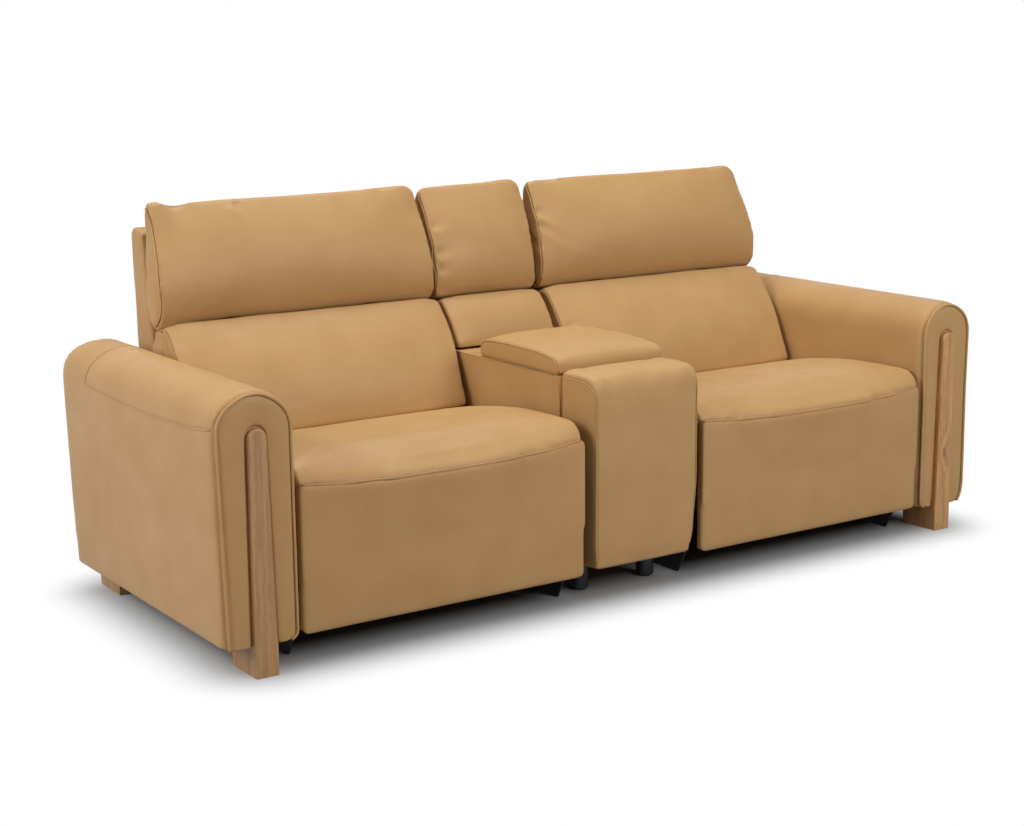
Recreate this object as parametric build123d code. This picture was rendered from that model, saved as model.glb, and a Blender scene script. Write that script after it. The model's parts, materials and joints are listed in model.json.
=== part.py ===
"""Power reclining loveseat: two seats with swing-out footrests, reclining backs and tilting headrests,
a storage console between them, and two padded arms on wood stiles. Sizes are in millimetres."""
import os
from math import atan2, cos, degrees, radians, sin

from build123d import *

# Overall size. Depths are measured backwards from the flat front faces of the arms.
WIDTH = 2300
SEAT_REAR = 672
BACK_SPACE = 250
NOSE_BULGE = 34
REAR_DEPTH = SEAT_REAR + BACK_SPACE
FACE_Y = NOSE_BULGE - (REAR_DEPTH + NOSE_BULGE) / 2

# Fits: running pins, pieces that rest on each other, soft faces side by side
PIN_CLEARANCE = 0.1
SEATED_GAP = 0.3
SOFT_GAP = 1.5

# Arms and their wood feet
LEG_HEIGHT = 75
ARM_WIDTH = 180
ARM_OUTER = WIDTH / 2
ARM_INNER = ARM_OUTER - ARM_WIDTH
ARM_TAPER = 10
ARCH_RADIUS = ARM_WIDTH / 2
ARCH_X = ARM_OUTER - ARCH_RADIUS
ARCH_Z = 557
ARM_FRONT_EASE = 4
ARM_REAR_EASE = 32
ARM_REAR_ROUND = 75
ARM_KICK_Z = 330
ARM_PANEL = 8
ARM_PANEL_INSET = 6
STILE_PROUD = 10
STILE_GAP = 7
STILE_EASE = 5
STILE_FOOT_WIDTH = 57
STILE_FOOT_X = ARCH_X - 5.5
STILE_TOP_WIDTH = 44
STILE_TOP_X = ARCH_X - 2
STILE_TOP_Z = 563
FRONT_FOOT_BACK = 119
FOOT_TAPER = 7
REAR_FOOT_WIDTH = 70
REAR_FOOT_X = ARCH_X - 4
REAR_FOOT = (REAR_DEPTH - 171, REAR_DEPTH - 35)
FOOT_CHAMFER = 3

# Console
CONSOLE_HALF = 162
CONSOLE_BASE = 83
CONSOLE_FRONT_BACK = 130
CONSOLE_FRONT_TOP = 552
CONSOLE_FRONT_SWELL = 20
CONSOLE_FRONT_ROUND = 45
CONSOLE_TOP = 556
CONSOLE_TOP_FALL = 14
CONSOLE_BACK = SEAT_REAR + 53
CONSOLE_APRON = CONSOLE_BASE + 40
CONSOLE_FRAME_INSET = 8
CONSOLE_FOOT_RADIUS = 23
CONSOLE_FOOT_FLANGE = 5
CONSOLE_FOOT_X = CONSOLE_HALF - 57
CONSOLE_FOOT_DEPTHS = (CONSOLE_FRONT_BACK + 2, SEAT_REAR - 32)
BIN_HALF = CONSOLE_HALF - 24
BIN = (CONSOLE_FRONT_BACK + 35, SEAT_REAR - 202)
BIN_FLOOR = 320
LID = (CONSOLE_FRONT_BACK + 18, SEAT_REAR - 174)
LID_BASE = CONSOLE_TOP + SEATED_GAP
LID_BOARD = 12
LID_BOARD_INSET = 4
LID_OVERHANG = 2
LID_SHOULDER = 606
LID_CROWN = 639
LID_DRAW = 34
LID_PIN = 4
LID_KNUCKLE = 6
LID_KNUCKLE_LENGTH = 40
LID_KNUCKLE_X = 70
LID_HINGE_HALF = 120
LID_PIVOT = (LID[1] + 12, CONSOLE_TOP + LID_KNUCKLE + SEATED_GAP)

# Seat cushions fill the space between the console and an arm
SEAT_SIDE_GAP = 18
SEAT_SHIFT = 4
SEAT_HALF = (ARM_INNER - CONSOLE_HALF) / 2 - SEAT_SIDE_GAP
SEAT_CENTRE = (ARM_INNER + CONSOLE_HALF) / 2 + SEAT_SHIFT
SEAT_BASE = 80
SEAM_Z = 418
SEAM_DIP = 11
NOSE_END = 4
NOSE_ROUND = 58
NOSE_UNDER = (60, SEAM_Z - 20)
SEAT_FRONT_TOP = 452
SEAT_FRONT_SWELL = 20
SEAT_CROWN = (280, 446)
SEAT_CROWN_SWELL = 16
SEAT_TOP_REAR = (SEAT_REAR - 152, 418)
SEAT_REAR_FALL = 8
SEAT_UNDER_REAR = 332
CUSHION_PLACES = (-1, -0.93, -0.8, -0.45, 0.45, 0.8, 0.93, 1)
CUSHION_DRAW = 6

# Footrest linkage: the panel turns about a remote centre in front of the seat's nose
OPEN_CENTRE = (-30, 455)
CRANK = (108, -170)
TILT_ARM = (-14, 88)
DRIVE_AXIS = (270, 278)
SWING_AXIS = (130, 310)
DRIVE_TUBE_RADIUS = 14
LINK_WIDTH = 26
LINK_THICK = 4
LINK_PITCH = 5
PIN_RADIUS = 5
LEVER = 70
LEVER_SWING = 43
LEVER_WIDTH = 24
LEVER_THICK = 8
CRANK_PIN_LENGTH = 12
BOARD = (34, 46)
BOARD_HALF = SEAT_HALF - 36
BOARD_BASE = SEAT_BASE + 15
BRACKET_DROP = 60
BRACKET_FLANGE = 45
PAD_FOOT = (6, SEAT_BASE)
PAD_MIDDLE_Z = 250
PAD_SWELL = 5

# Steel seat frame
PLATE_OUTER = SEAT_HALF - 6
PLATE_THICK = 5
PLATE_GAP = 1
PLATE_FRONT_FOOT = ((100, 380), (70, 110), (74, 54), (103, 0), (215, 0), (240, 60))
PLATE_REAR_FOOT = ((-152, 60), (-127, 0), (-22, 0), (-22, 190))
PLATE_HINGE_EAR = ((18, 240), (18, 300), (-32, 324))
PLATE_WINDOW_FRONT = ((340, 300), (330, 200))
PLATE_WINDOW_REAR = ((-102, 200), (-112, 280))
TUBE_RADIUS = 15
TUBE_WALL = 3
TUBE_DEPTHS = (SEAT_REAR - 232, SEAT_REAR - 62)
TUBE_Z = 150
RAIL_HEIGHT = 50
RAIL_THICK = 25
RAIL_OUTER = PLATE_OUTER - 28
RAIL_DEPTHS = (70, SEAT_REAR - 32)
STANDOFF = 16
STANDOFF_DEPTHS = (215, SEAT_REAR - 72)
SPACER = 40
SPACER_DEPTHS = (300, SEAT_REAR - 112)
SPRINGS = 4
SPRING_WIRE = 4
SPRING_TURNS = 14
SPRING_SWING = 22

# Backs
BACK_PIVOT = (SEAT_REAR - 12, 270)
BACK_PIVOT_RADIUS = 8
BACK_HALF = PLATE_OUTER - PLATE_THICK - PLATE_GAP - LINK_THICK
BACK_TOP = 912
BACK_FRONT = ((SEAT_REAR + 53, 330), (SEAT_REAR + 128, 690), (SEAT_REAR + 156, BACK_TOP - 7))
BACK_REAR = ((SEAT_REAR + 225, BACK_TOP - 12), (SEAT_REAR + 214, 611))
BACK_TOP_ROUND = 30
APRON_BASE = 130
APRON_THICK = 12
BRACKET_WIDTH = 36
BRACKET_ON_SLAB = (340, 460)
BRACKET_ARM = (73, 375)
BRACKET_HEEL = (143, 345)
CRANK_ARM = 60
RECLINE = 28
LUMBAR_HALF = SEAT_HALF - 6
LUMBAR_LOW = (SEAT_REAR - 139, 426)
LUMBAR_HIGH = (SEAT_REAR + 6, 684)
LUMBAR_TOP_REAR_Z = 672
LUMBAR_SWELL = (4, 20)
HEAD_HALF = SEAT_HALF - 11
HEAD_PIVOT = (SEAT_REAR + 80, 722)
HEAD_ROUND = 42
HEAD_TOP = 978
HEAD_FALL = 23
CONSOLE_HEAD_FALL = 28
HEAD_BOARD = (12, 200)
HEAD_BOARD_FOOT = (SEAT_REAR + 113, 745)
HEAD_BOARD_LEAN = 18
HEAD_BOARD_INSET = 40
HINGE_OFFSET = 200
HINGE_KNUCKLE = 7
HINGE_ON_SLAB = (692, 740)
HINGE_CHEEK = 4
HINGE_SLOT = 18

# Motor actuators on the cross tubes
ACTUATOR_OFFSET = 90
TRACK_BASE = TUBE_Z + TUBE_RADIUS
TRACK_TOP = TRACK_BASE + 25
TRACK_HALF = 20
TRACK_WALL = 3
GEARBOX = (70, 60)
GEARBOX_ROUND = 12
MOTOR_RADIUS = 24
MOTOR_LENGTH = 90
FOOT_TRACK = (190, SEAT_REAR - 172)
FOOT_GEARBOX_LENGTH = 120
BACK_TRACK = (330, SEAT_REAR - 47)
BACK_GEARBOX_LENGTH = 80
SLOT_PLAY = 3

# Rocker switches and the power inlet
SWITCH_DEPTH = 300
SWITCH_Z = 522
SWITCH_SIZE = (110, 44)
SWITCH_ROUND = 10
SWITCH_THICK = 9
SWITCH_FLOOR = 2
ROCKER_OFFSET = 25
ROCKER_SIZE = (34, 26)
ROCKER_PLAY = 1
ROCKER_PIN = 2
ROCKER_PIN_LENGTH = 4
ROCKER_DEPTH = 6
ROCKER_BASE = 4.6
ROCKER_TOP = SWITCH_THICK + 4
ROCKER_DISH = 2
INLET_Z = 190
INLET_PLATE = (56, 40, 4)
INLET_SOCKET = (26, 18, 2)


def at(point):
    """A (depth, height) point as the drawing coordinates of the side view."""
    return (FACE_Y + point[0], point[1])


def plus(point, vector):
    return (point[0] + vector[0], point[1] + vector[1])


def between(a, b, share):
    return (a[0] + (b[0] - a[0]) * share, a[1] + (b[1] - a[1]) * share)


def behind(distance, height):
    """A side-view point at a distance behind the seat cushion's rear edge."""
    return (SEAT_REAR + distance, height)


def side_face(points):
    return make_face(Polyline(*[at(p) for p in points], close=True))


def side_box(low, high):
    return side_face((low, (high[0], low[1]), high, (low[0], high[1])))


def across(face, x0, x1):
    """A side-view face pushed across the loveseat from x0 to x1."""
    return extrude(Plane.YZ.offset(x0) * face, amount=x1 - x0)


def front_plane(depth):
    return Plane(origin=(0, FACE_Y + depth, 0), x_dir=(1, 0, 0), z_dir=(0, -1, 0))


def backwards(face, d0, d1):
    """A front-view face pushed from depth d0 back to depth d1."""
    return extrude(front_plane(d0) * face, amount=d0 - d1)


def disc(point, radius):
    return Pos(*at(point)) * Circle(radius)


def pin(point, radius, x0, x1):
    return across(disc(point, radius), x0, x1)


def block(point, size, x0, x1):
    return across(Pos(*at(point)) * Rectangle(size, size), x0, x1)


def bar(points, width, holes=()):
    """A flat bar with round ends through the given points, bored at the holes."""
    face = Sketch()
    for a, b in zip(points, points[1:]):
        face += make_hull(disc(a, width / 2).edges() + disc(b, width / 2).edges())
    for hole in holes:
        face -= disc(hole, PIN_RADIUS + PIN_CLEARANCE)
    return face


def both_sides(shape):
    return [shape, mirror(shape, about=Plane.YZ)]


def layer(number):
    """Distances from the seat's centre line of a link layer, counted inwards from the side plate."""
    outer = PLATE_OUTER - PLATE_THICK - PLATE_GAP - (number - 1) * LINK_PITCH
    return outer - LINK_THICK, outer


def edge_line(corners):
    """A closed side-view face from corner points; a tuple (middle, end) makes an arc to its end."""
    edges = []
    start = corners[0]
    for step in corners[1:]:
        if isinstance(step[0], tuple):
            edges.append(ThreePointArc(at(start), at(step[0]), at(step[1])))
            start = step[1]
        else:
            edges.append(Line(at(start), at(step)))
            start = step
    if start != corners[0]:
        edges.append(Line(at(start), at(corners[0])))
    return make_face(Curve() + edges)


def crowned(section, half):
    """A cushion lofted across its width: full in the middle and drawn in towards both ends."""
    sections = []
    for place in CUSHION_PLACES:
        full = 1 - abs(place) ** CUSHION_DRAW
        sections.append(Plane.YZ.offset(place * half) * section(full))
    return loft(sections, ruled=True)


# Arms


def arm_outline(inset):
    """Front view of the right arm: a tapered board under a round top."""
    radius = ARCH_RADIUS - inset
    slope = radius * cos(radians(45))
    base = LEG_HEIGHT + inset
    outer_base = ARM_OUTER - ARM_TAPER - inset
    left = (ARCH_X - radius, ARCH_Z)
    right = (ARCH_X + radius, ARCH_Z)
    top = (ARCH_X, ARCH_Z + radius)
    return make_face(
        Curve()
        + [
            Line((ARM_INNER + inset, base), (outer_base, base)),
            Line((outer_base, base), right),
            ThreePointArc(right, (ARCH_X + slope, ARCH_Z + slope), top),
            ThreePointArc(top, (ARCH_X - slope, ARCH_Z + slope), left),
            Line(left, (ARM_INNER + inset, base)),
        ]
    )


def arm_side():
    """Side view of an arm: round at the rear top and cut back towards the rear foot."""
    top = ARCH_Z + ARCH_RADIUS
    corner = ARM_REAR_ROUND * (1 - cos(radians(45)))
    return edge_line(
        [
            (ARM_PANEL, LEG_HEIGHT),
            (ARM_PANEL, top),
            (REAR_DEPTH - ARM_REAR_ROUND, top),
            ((REAR_DEPTH - corner, top - corner), (REAR_DEPTH, top - ARM_REAR_ROUND)),
            (REAR_DEPTH, ARM_KICK_Z),
            (REAR_FOOT[1], LEG_HEIGHT),
        ]
    )


def arm_body():
    stations = [(ARM_PANEL, ARM_FRONT_EASE), (ARM_PANEL + 5 * ARM_FRONT_EASE, 0)]
    for angle in (0, 45, 90):
        depth = REAR_DEPTH - ARM_REAR_EASE * (1 - sin(radians(angle)))
        stations.append((depth, ARM_REAR_EASE * (1 - cos(radians(angle)))))
    body = loft([front_plane(depth) * arm_outline(inset) for depth, inset in stations], ruled=True)
    return body & across(arm_side(), ARM_INNER, ARM_OUTER)


def stile_outline(gap):
    """Front view of a stile: wider at the foot, round at the top."""
    foot = STILE_FOOT_WIDTH / 2 + gap
    top_radius = STILE_TOP_WIDTH / 2 + gap
    spring = STILE_TOP_Z + gap - top_radius
    left = (STILE_TOP_X - top_radius, spring)
    right = (STILE_TOP_X + top_radius, spring)
    return make_face(
        Curve()
        + [
            Line((STILE_FOOT_X - foot, 0), (STILE_FOOT_X + foot, 0)),
            Line((STILE_FOOT_X + foot, 0), right),
            ThreePointArc(right, (STILE_TOP_X, STILE_TOP_Z + gap), left),
            Line(left, (STILE_FOOT_X - foot, 0)),
        ]
    )


def arm_face():
    """Front panel of an arm with the channel that the stile lies in."""
    panel = backwards(arm_outline(ARM_PANEL_INSET), 0, ARM_PANEL)
    return panel - backwards(stile_outline(STILE_GAP), -1, ARM_PANEL + 1)


def front_leg():
    """Stile and front foot in one piece of wood."""
    foot = side_face(
        (
            (-STILE_PROUD, 0),
            (FRONT_FOOT_BACK - FOOT_TAPER, 0),
            (FRONT_FOOT_BACK, LEG_HEIGHT),
            (-STILE_PROUD, LEG_HEIGHT),
        )
    )
    half = STILE_FOOT_WIDTH / 2
    leg = backwards(stile_outline(0), -STILE_PROUD, ARM_PANEL)
    leg += across(foot, STILE_FOOT_X - half, STILE_FOOT_X + half)
    front_edges = leg.faces().sort_by(Axis.Y)[0].edges().filter_by(lambda e: e.center().Z > 1)
    return fillet(front_edges, STILE_EASE)


def rear_leg():
    front, rear = REAR_FOOT
    outline = side_face(
        ((front, LEG_HEIGHT), (rear, LEG_HEIGHT), (rear - FOOT_TAPER, 0), (front + FOOT_TAPER, 0))
    )
    half = REAR_FOOT_WIDTH / 2
    leg = across(outline, REAR_FOOT_X - half, REAR_FOOT_X + half)
    return chamfer(leg.faces().sort_by(Axis.Z)[0].edges(), FOOT_CHAMFER)


# Seat frame


def under_line(depth):
    """Height of the seat cushion's underside behind its nose."""
    share = (depth - NOSE_UNDER[0]) / (SEAT_REAR - NOSE_UNDER[0])
    return NOSE_UNDER[1] + share * (SEAT_UNDER_REAR - NOSE_UNDER[1])


def side_plate():
    """Steel side plate on two floor feet, with the studs that the swing links and the back turn on."""
    rear = [behind(*point) for point in PLATE_REAR_FOOT + PLATE_HINGE_EAR]
    outline = side_face([*PLATE_FRONT_FOOT, *rear])
    window = side_face([*PLATE_WINDOW_FRONT, *[behind(*point) for point in PLATE_WINDOW_REAR]])
    inner = PLATE_OUTER - PLATE_THICK
    plate = across(outline - window - disc(DRIVE_AXIS, DRIVE_TUBE_RADIUS + PIN_CLEARANCE), inner, PLATE_OUTER)
    stud_end = layer(1)[0]
    plate += pin(SWING_AXIS, PIN_RADIUS, stud_end, inner)
    plate += pin(BACK_PIVOT, BACK_PIVOT_RADIUS, stud_end, inner)
    return plate


def cross_tubes():
    half = PLATE_OUTER - PLATE_THICK
    ring = Circle(TUBE_RADIUS) - Circle(TUBE_RADIUS - TUBE_WALL)
    return [across(Pos(*at((depth, TUBE_Z))) * ring, -half, half) for depth in TUBE_DEPTHS]


def seat_rails():
    """Four boards under the seat cushion's edges, sloping back with it."""
    front, rear = RAIL_DEPTHS
    inner = RAIL_OUTER - RAIL_THICK

    def strip(d0, d1):
        top0 = under_line(d0)
        top1 = under_line(d1)
        return side_face(((d0, top0), (d1, top1), (d1, top1 - RAIL_HEIGHT), (d0, top0 - RAIL_HEIGHT)))

    rails = both_sides(across(strip(front, rear), inner, RAIL_OUTER))
    rails.append(across(strip(front, front + RAIL_THICK), -inner, inner))
    rails.append(across(strip(rear - RAIL_THICK, rear), -inner, inner))
    return rails


def seat_springs():
    """Sinuous wires stretched from the front rail to the rear rail, just under the cushion."""
    start = RAIL_DEPTHS[0] + RAIL_THICK
    end = RAIL_DEPTHS[1] - RAIL_THICK
    slope = degrees(atan2(under_line(end) - under_line(start), end - start))
    length = (end - start) / cos(radians(slope))
    points = [(0, 0)]
    for turn in range(1, SPRING_TURNS):
        points.append((SPRING_SWING if turn % 2 else -SPRING_SWING, length * turn / SPRING_TURNS))
    points.append((0, length))
    wire = extrude(trace(Polyline(*points), SPRING_WIRE), amount=-SPRING_WIRE)
    spacing = 2 * (RAIL_OUTER - RAIL_THICK) / SPRINGS
    sloped = Pos(0, FACE_Y + start, under_line(start)) * Rot(slope, 0, 0) * wire
    between_rails = across(side_box((start, 0), (end, NOSE_UNDER[1])), -RAIL_OUTER, RAIL_OUTER)
    spring = sloped & between_rails
    return [Pos((n - (SPRINGS - 1) / 2) * spacing, 0, 0) * spring for n in range(SPRINGS)]


def seat_standoffs():
    """Short posts that carry the seat rails between the side plates."""
    inner = PLATE_OUTER - PLATE_THICK
    posts = []
    for depth in STANDOFF_DEPTHS:
        spot = (depth, under_line(depth) - RAIL_HEIGHT / 2)
        posts += both_sides(block(spot, STANDOFF, RAIL_OUTER, inner))
    return posts


def frame_spacers():
    """Blocks between the side plates and the arms on the outside, the console on the inside."""
    blocks = []
    for depth in SPACER_DEPTHS:
        spot = (depth, TUBE_Z)
        blocks += both_sides(block(spot, SPACER, SEAT_CENTRE + PLATE_OUTER, ARM_INNER))
        blocks += both_sides(block(spot, SPACER, CONSOLE_HALF, SEAT_CENTRE - PLATE_OUTER))
    return blocks


# Seat cushion and footrest


def nose(full):
    """Front lower edge of the seat cushion: it bulges forwards and dips in the middle."""
    return (NOSE_END - (NOSE_END + NOSE_BULGE) * full, SEAM_Z - SEAM_DIP * full)


def seat_section(full):
    lip = nose(full)
    top = (lip[0] + NOSE_ROUND, SEAT_FRONT_TOP + SEAT_FRONT_SWELL * full)
    shoulder = plus(between(lip, top, 0.5), (-0.36 * NOSE_ROUND, 0))
    crown = plus(SEAT_CROWN, (0, SEAT_CROWN_SWELL * full))
    return edge_line(
        [
            lip,
            (shoulder, top),
            (crown, SEAT_TOP_REAR),
            (SEAT_REAR, SEAT_TOP_REAR[1] - SEAT_REAR_FALL),
            (SEAT_REAR, SEAT_UNDER_REAR),
            NOSE_UNDER,
        ]
    )


def pad_section(full):
    """Footrest panel: its top follows the cushion's nose, its front swells a little."""
    lip = nose(full)
    top = (lip[0], lip[1] - SOFT_GAP)
    share = (BOARD[0] - lip[0]) / (NOSE_UNDER[0] - lip[0])
    back_top = (BOARD[0], between(lip, NOSE_UNDER, share)[1] - SOFT_GAP)
    middle = (between(top, PAD_FOOT, 0.5)[0] - PAD_SWELL * full, PAD_MIDDLE_Z)
    return edge_line([top, (middle, PAD_FOOT), (BOARD[0], SEAT_BASE), back_top])


def footrest_pivots():
    low = plus(OPEN_CENTRE, CRANK)
    return low, plus(low, TILT_ARM)


def footrest_bracket():
    """Folded steel bracket: an upright with the two link bores and a flange on the footrest board."""
    low, high = footrest_pivots()
    inner, outer = layer(3)
    face = BOARD[1]
    base = low[1] - BRACKET_DROP
    top = high[1] - PIN_RADIUS
    bore = PIN_RADIUS + PIN_CLEARANCE
    web = bar([low, high], LINK_WIDTH)
    web += side_face(((face, base), plus(low, (PIN_RADIUS, 0)), plus(high, (PIN_RADIUS, 0)), (face, top)))
    web -= disc(low, bore) + disc(high, bore)
    web &= side_box((face, 0), (face + 4 * LINK_WIDTH, SEAM_Z))
    flange = side_box((face, base), (face + LINK_THICK, top))
    return across(web, inner, outer) + across(flange, BOARD_HALF - BRACKET_FLANGE, outer)


def footrest_board():
    outline = side_box((BOARD[0], BOARD_BASE), (BOARD[1], NOSE_UNDER[1] - BOARD[1] + BOARD[0] - SOFT_GAP))
    return across(outline, -BOARD_HALF, BOARD_HALF)


def link_ends():
    """Where the drive links and the swing links meet the reach links."""
    return plus(DRIVE_AXIS, CRANK), plus(SWING_AXIS, CRANK)


def lever_end(swing):
    return plus(DRIVE_AXIS, (LEVER * sin(radians(swing)), -LEVER * cos(radians(swing))))


def drive_shaft():
    """Torque tube with a drive link at each end and the lever that the footrest motor pushes."""
    knee = link_ends()[0]
    inner, outer = layer(3)
    link = across(bar([DRIVE_AXIS, knee], LINK_WIDTH), inner, outer)
    link += pin(knee, PIN_RADIUS, layer(2)[0], inner)
    end = lever_end(LEVER_SWING)
    near = -ACTUATOR_OFFSET - LEVER_THICK / 2
    shaft = pin(DRIVE_AXIS, DRIVE_TUBE_RADIUS, -PLATE_OUTER, PLATE_OUTER)
    shaft += across(bar([DRIVE_AXIS, end], LEVER_WIDTH), near, near + LEVER_THICK)
    shaft += pin(end, PIN_RADIUS, near - CRANK_PIN_LENGTH, near)
    for side in both_sides(link):
        shaft += side
    return shaft


def swing_links():
    """Bent links on the side plate studs; they keep the reach links level and drive the tilt links."""
    elbow = link_ends()[1]
    corner = plus(elbow, TILT_ARM)
    inner, outer = layer(1)
    link = across(bar([SWING_AXIS, elbow, corner], LINK_WIDTH, (SWING_AXIS,)), inner, outer)
    for spot in (elbow, corner):
        link += pin(spot, PIN_RADIUS, layer(2)[0], inner)
    return both_sides(link)


def reach_links():
    knee, elbow = link_ends()
    low = footrest_pivots()[0]
    inner, outer = layer(2)
    link = across(bar([knee, elbow, low], LINK_WIDTH, (knee, elbow)), inner, outer)
    link += pin(low, PIN_RADIUS, layer(3)[0], inner)
    return both_sides(link)


def tilt_links():
    corner = plus(link_ends()[1], TILT_ARM)
    high = footrest_pivots()[1]
    inner, outer = layer(2)
    link = across(bar([corner, high], LINK_WIDTH - LINK_THICK, (corner,)), inner, outer)
    link += pin(high, PIN_RADIUS, layer(3)[0], inner)
    return both_sides(link)


# Motor actuators


def track(d0, d1, x):
    """Channel rail of an actuator."""
    wide = 2 * TRACK_HALF
    high = TRACK_TOP - TRACK_BASE
    middle = (TRACK_BASE + TRACK_TOP) / 2
    profile = Pos(x, middle) * Rectangle(wide, high)
    profile -= Pos(x, middle + TRACK_WALL) * Rectangle(wide - 2 * TRACK_WALL, high)
    return backwards(profile, d0, d1)


def gear_motor(d0, d1, can_depth, x):
    """Gearbox block with rounded corners and a motor can hanging below it."""
    width, height = GEARBOX
    box = Pos(x, FACE_Y + (d0 + d1) / 2, TRACK_BASE + height / 2) * Box(width, d1 - d0, height)
    box = fillet(box.edges().filter_by(Axis.Z), GEARBOX_ROUND)
    can = Pos(x, FACE_Y + can_depth, TRACK_BASE - MOTOR_LENGTH / 2) * Cylinder(MOTOR_RADIUS, MOTOR_LENGTH)
    return box + can


def footrest_actuator():
    start, end = FOOT_TRACK
    x = -ACTUATOR_OFFSET
    return track(start, end, x) + gear_motor(end, end + FOOT_GEARBOX_LENGTH, end + 45, x)


def back_actuator():
    start, end = BACK_TRACK
    front = start - BACK_GEARBOX_LENGTH
    return track(start, end, ACTUATOR_OFFSET) + gear_motor(front, start, (front + start) / 2, ACTUATOR_OFFSET)


def slotted_carriage(nut_ends, cheek, slot, x, cheek_x):
    """Nut block in the track with an upright cheek whose slot takes a crank pin."""
    inside = TRACK_HALF - TRACK_WALL - SEATED_GAP
    base = TRACK_BASE + TRACK_WALL + SEATED_GAP
    outline = Pos(x, (base + TRACK_TOP) / 2) * Rectangle(2 * inside, TRACK_TOP - base)
    nut = backwards(outline, *nut_ends)
    return nut + across(side_face(cheek) - side_box(*slot), *cheek_x)


def pin_slot(end, low, high):
    """Slot as wide as a crank pin and its play, from a low to a high level."""
    half = PIN_RADIUS + SLOT_PLAY
    return (end[0] - half, low), (end[0] + half, high)


def footrest_carriage():
    end = lever_end(LEVER_SWING)
    lowest = lever_end(0)[1]
    foot = TRACK_TOP - LINK_THICK
    nut_ends = (end[0] - 35, end[0] + 35)
    cheek = ((nut_ends[0], foot), (nut_ends[1], foot), plus(end, (20, 22)), plus(end, (-20, 22)))
    slot = pin_slot(end, lowest - PIN_RADIUS - LINK_THICK, end[1] + 30)
    x = -ACTUATOR_OFFSET
    return slotted_carriage(nut_ends, cheek, slot, x, (x - 14, x - 6))


def crank_end(lean):
    return plus(BACK_PIVOT, (CRANK_ARM * sin(radians(lean)), -CRANK_ARM * cos(radians(lean))))


def back_carriage():
    end = crank_end(RECLINE / 2)
    foot = TRACK_TOP - LINK_THICK
    nut_ends = (SEAT_REAR - 142, SEAT_REAR - 82)
    cheek = (
        behind(-127, foot),
        behind(-82, foot),
        plus(end, (18, -18)),
        plus(end, (18, 20)),
        plus(end, (-30, 20)),
    )
    slot = pin_slot(end, end[1] - 11, end[1] + 30)
    x = ACTUATOR_OFFSET
    return slotted_carriage(nut_ends, cheek, slot, x, (x + 6, x + 14))


# Backs


def slab_top():
    """The front, top and rear of an outer back, from its foot over its rounded top."""
    low, middle, high = BACK_FRONT
    rear_high, rear_middle = BACK_REAR
    crest = (high[0] + BACK_TOP_ROUND, BACK_TOP)
    return [
        low,
        middle,
        high,
        ((high[0] + 0.4 * BACK_TOP_ROUND, BACK_TOP - 1), crest),
        ((rear_high[0] - 4, BACK_TOP - 4), rear_high),
        rear_middle,
    ]


def back_frame():
    """Upholstered back slab with the apron that hides the mechanism from behind."""
    rear = BACK_REAR[1][0]
    front = rear - APRON_THICK
    apron = [(rear, APRON_BASE), (front, APRON_BASE), (front, BACK_FRONT[0][1])]
    return across(edge_line(slab_top() + apron), -BACK_HALF, BACK_HALF)


def on_front_line(height):
    """Point of the back slab's front face at a height below its bend."""
    low, middle = BACK_FRONT[:2]
    return between(low, middle, (height - low[1]) / (middle[1] - low[1]))


def on_upper_line(height):
    """Point of the back slab's front face at a height above its bend."""
    middle, high = BACK_FRONT[1:]
    return between(middle, high, (height - middle[1]) / (high[1] - middle[1]))


def back_bracket():
    """Side bracket of a back, on the side plate's stud."""
    foot, top = [on_front_line(height) for height in BRACKET_ON_SLAB]
    face = bar([BACK_PIVOT, behind(*BRACKET_ARM)], BRACKET_WIDTH)
    face += side_face((BACK_PIVOT, foot, top, plus(top, (CRANK_ARM, 0)), behind(*BRACKET_HEEL)))
    face -= disc(BACK_PIVOT, BACK_PIVOT_RADIUS + PIN_CLEARANCE)
    return across(face, BACK_HALF, BACK_HALF + LINK_THICK)


def back_crank():
    """Crank plate under the back slab; its pin runs in the back motor's carriage."""
    end = crank_end(RECLINE / 2)
    base = BACK_FRONT[0][1]
    face = side_face((behind(63, base), behind(118, base), plus(end, (14, -6)), plus(end, (-10, 6))))
    face += disc(end, LINK_WIDTH / 2)
    near = ACTUATOR_OFFSET - LEVER_THICK / 2
    crank = across(face, near, near + LEVER_THICK)
    return crank + pin(end, PIN_RADIUS, near + LEVER_THICK, near + LEVER_THICK + CRANK_PIN_LENGTH)


def hinge_fork(x):
    """Two cheeks on the back slab with the headrest pin between them."""
    rim = HINGE_KNUCKLE + PLATE_GAP
    seat = Line(*[at(on_upper_line(height)) for height in HINGE_ON_SLAB])
    cheek = make_hull(disc(HEAD_PIVOT, 2.4 * PIN_RADIUS).edges() + seat.edges())
    fork = pin(HEAD_PIVOT, PIN_RADIUS, x - rim, x + rim)
    fork += across(cheek, x - rim - HINGE_CHEEK, x - rim)
    fork += across(cheek, x + rim, x + rim + HINGE_CHEEK)
    return fork


def head_board_face():
    thick, height = HEAD_BOARD
    foot = HEAD_BOARD_FOOT
    top = plus(foot, (HEAD_BOARD_LEAN, height))
    return side_face((foot, plus(foot, (thick, 0)), plus(top, (thick, 0)), top))


def headrest_frame():
    """Board behind the headrest cushion, with a knuckle on each hinge."""
    half = HEAD_HALF - HEAD_BOARD_INSET
    board = across(head_board_face(), -half, half)
    foot = HEAD_BOARD_FOOT
    seat = Polyline(at(plus(foot, (2, 5))), at(plus(foot, (4, 20))), at(plus(foot, (12, 5))), close=True)
    knuckle = make_hull(disc(HEAD_PIVOT, LINK_WIDTH / 2).edges() + seat.edges())
    knuckle -= disc(HEAD_PIVOT, PIN_RADIUS + PIN_CLEARANCE)
    for x in (-HINGE_OFFSET, HINGE_OFFSET):
        board += across(knuckle, x - HINGE_KNUCKLE, x + HINGE_KNUCKLE)
    return board


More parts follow.
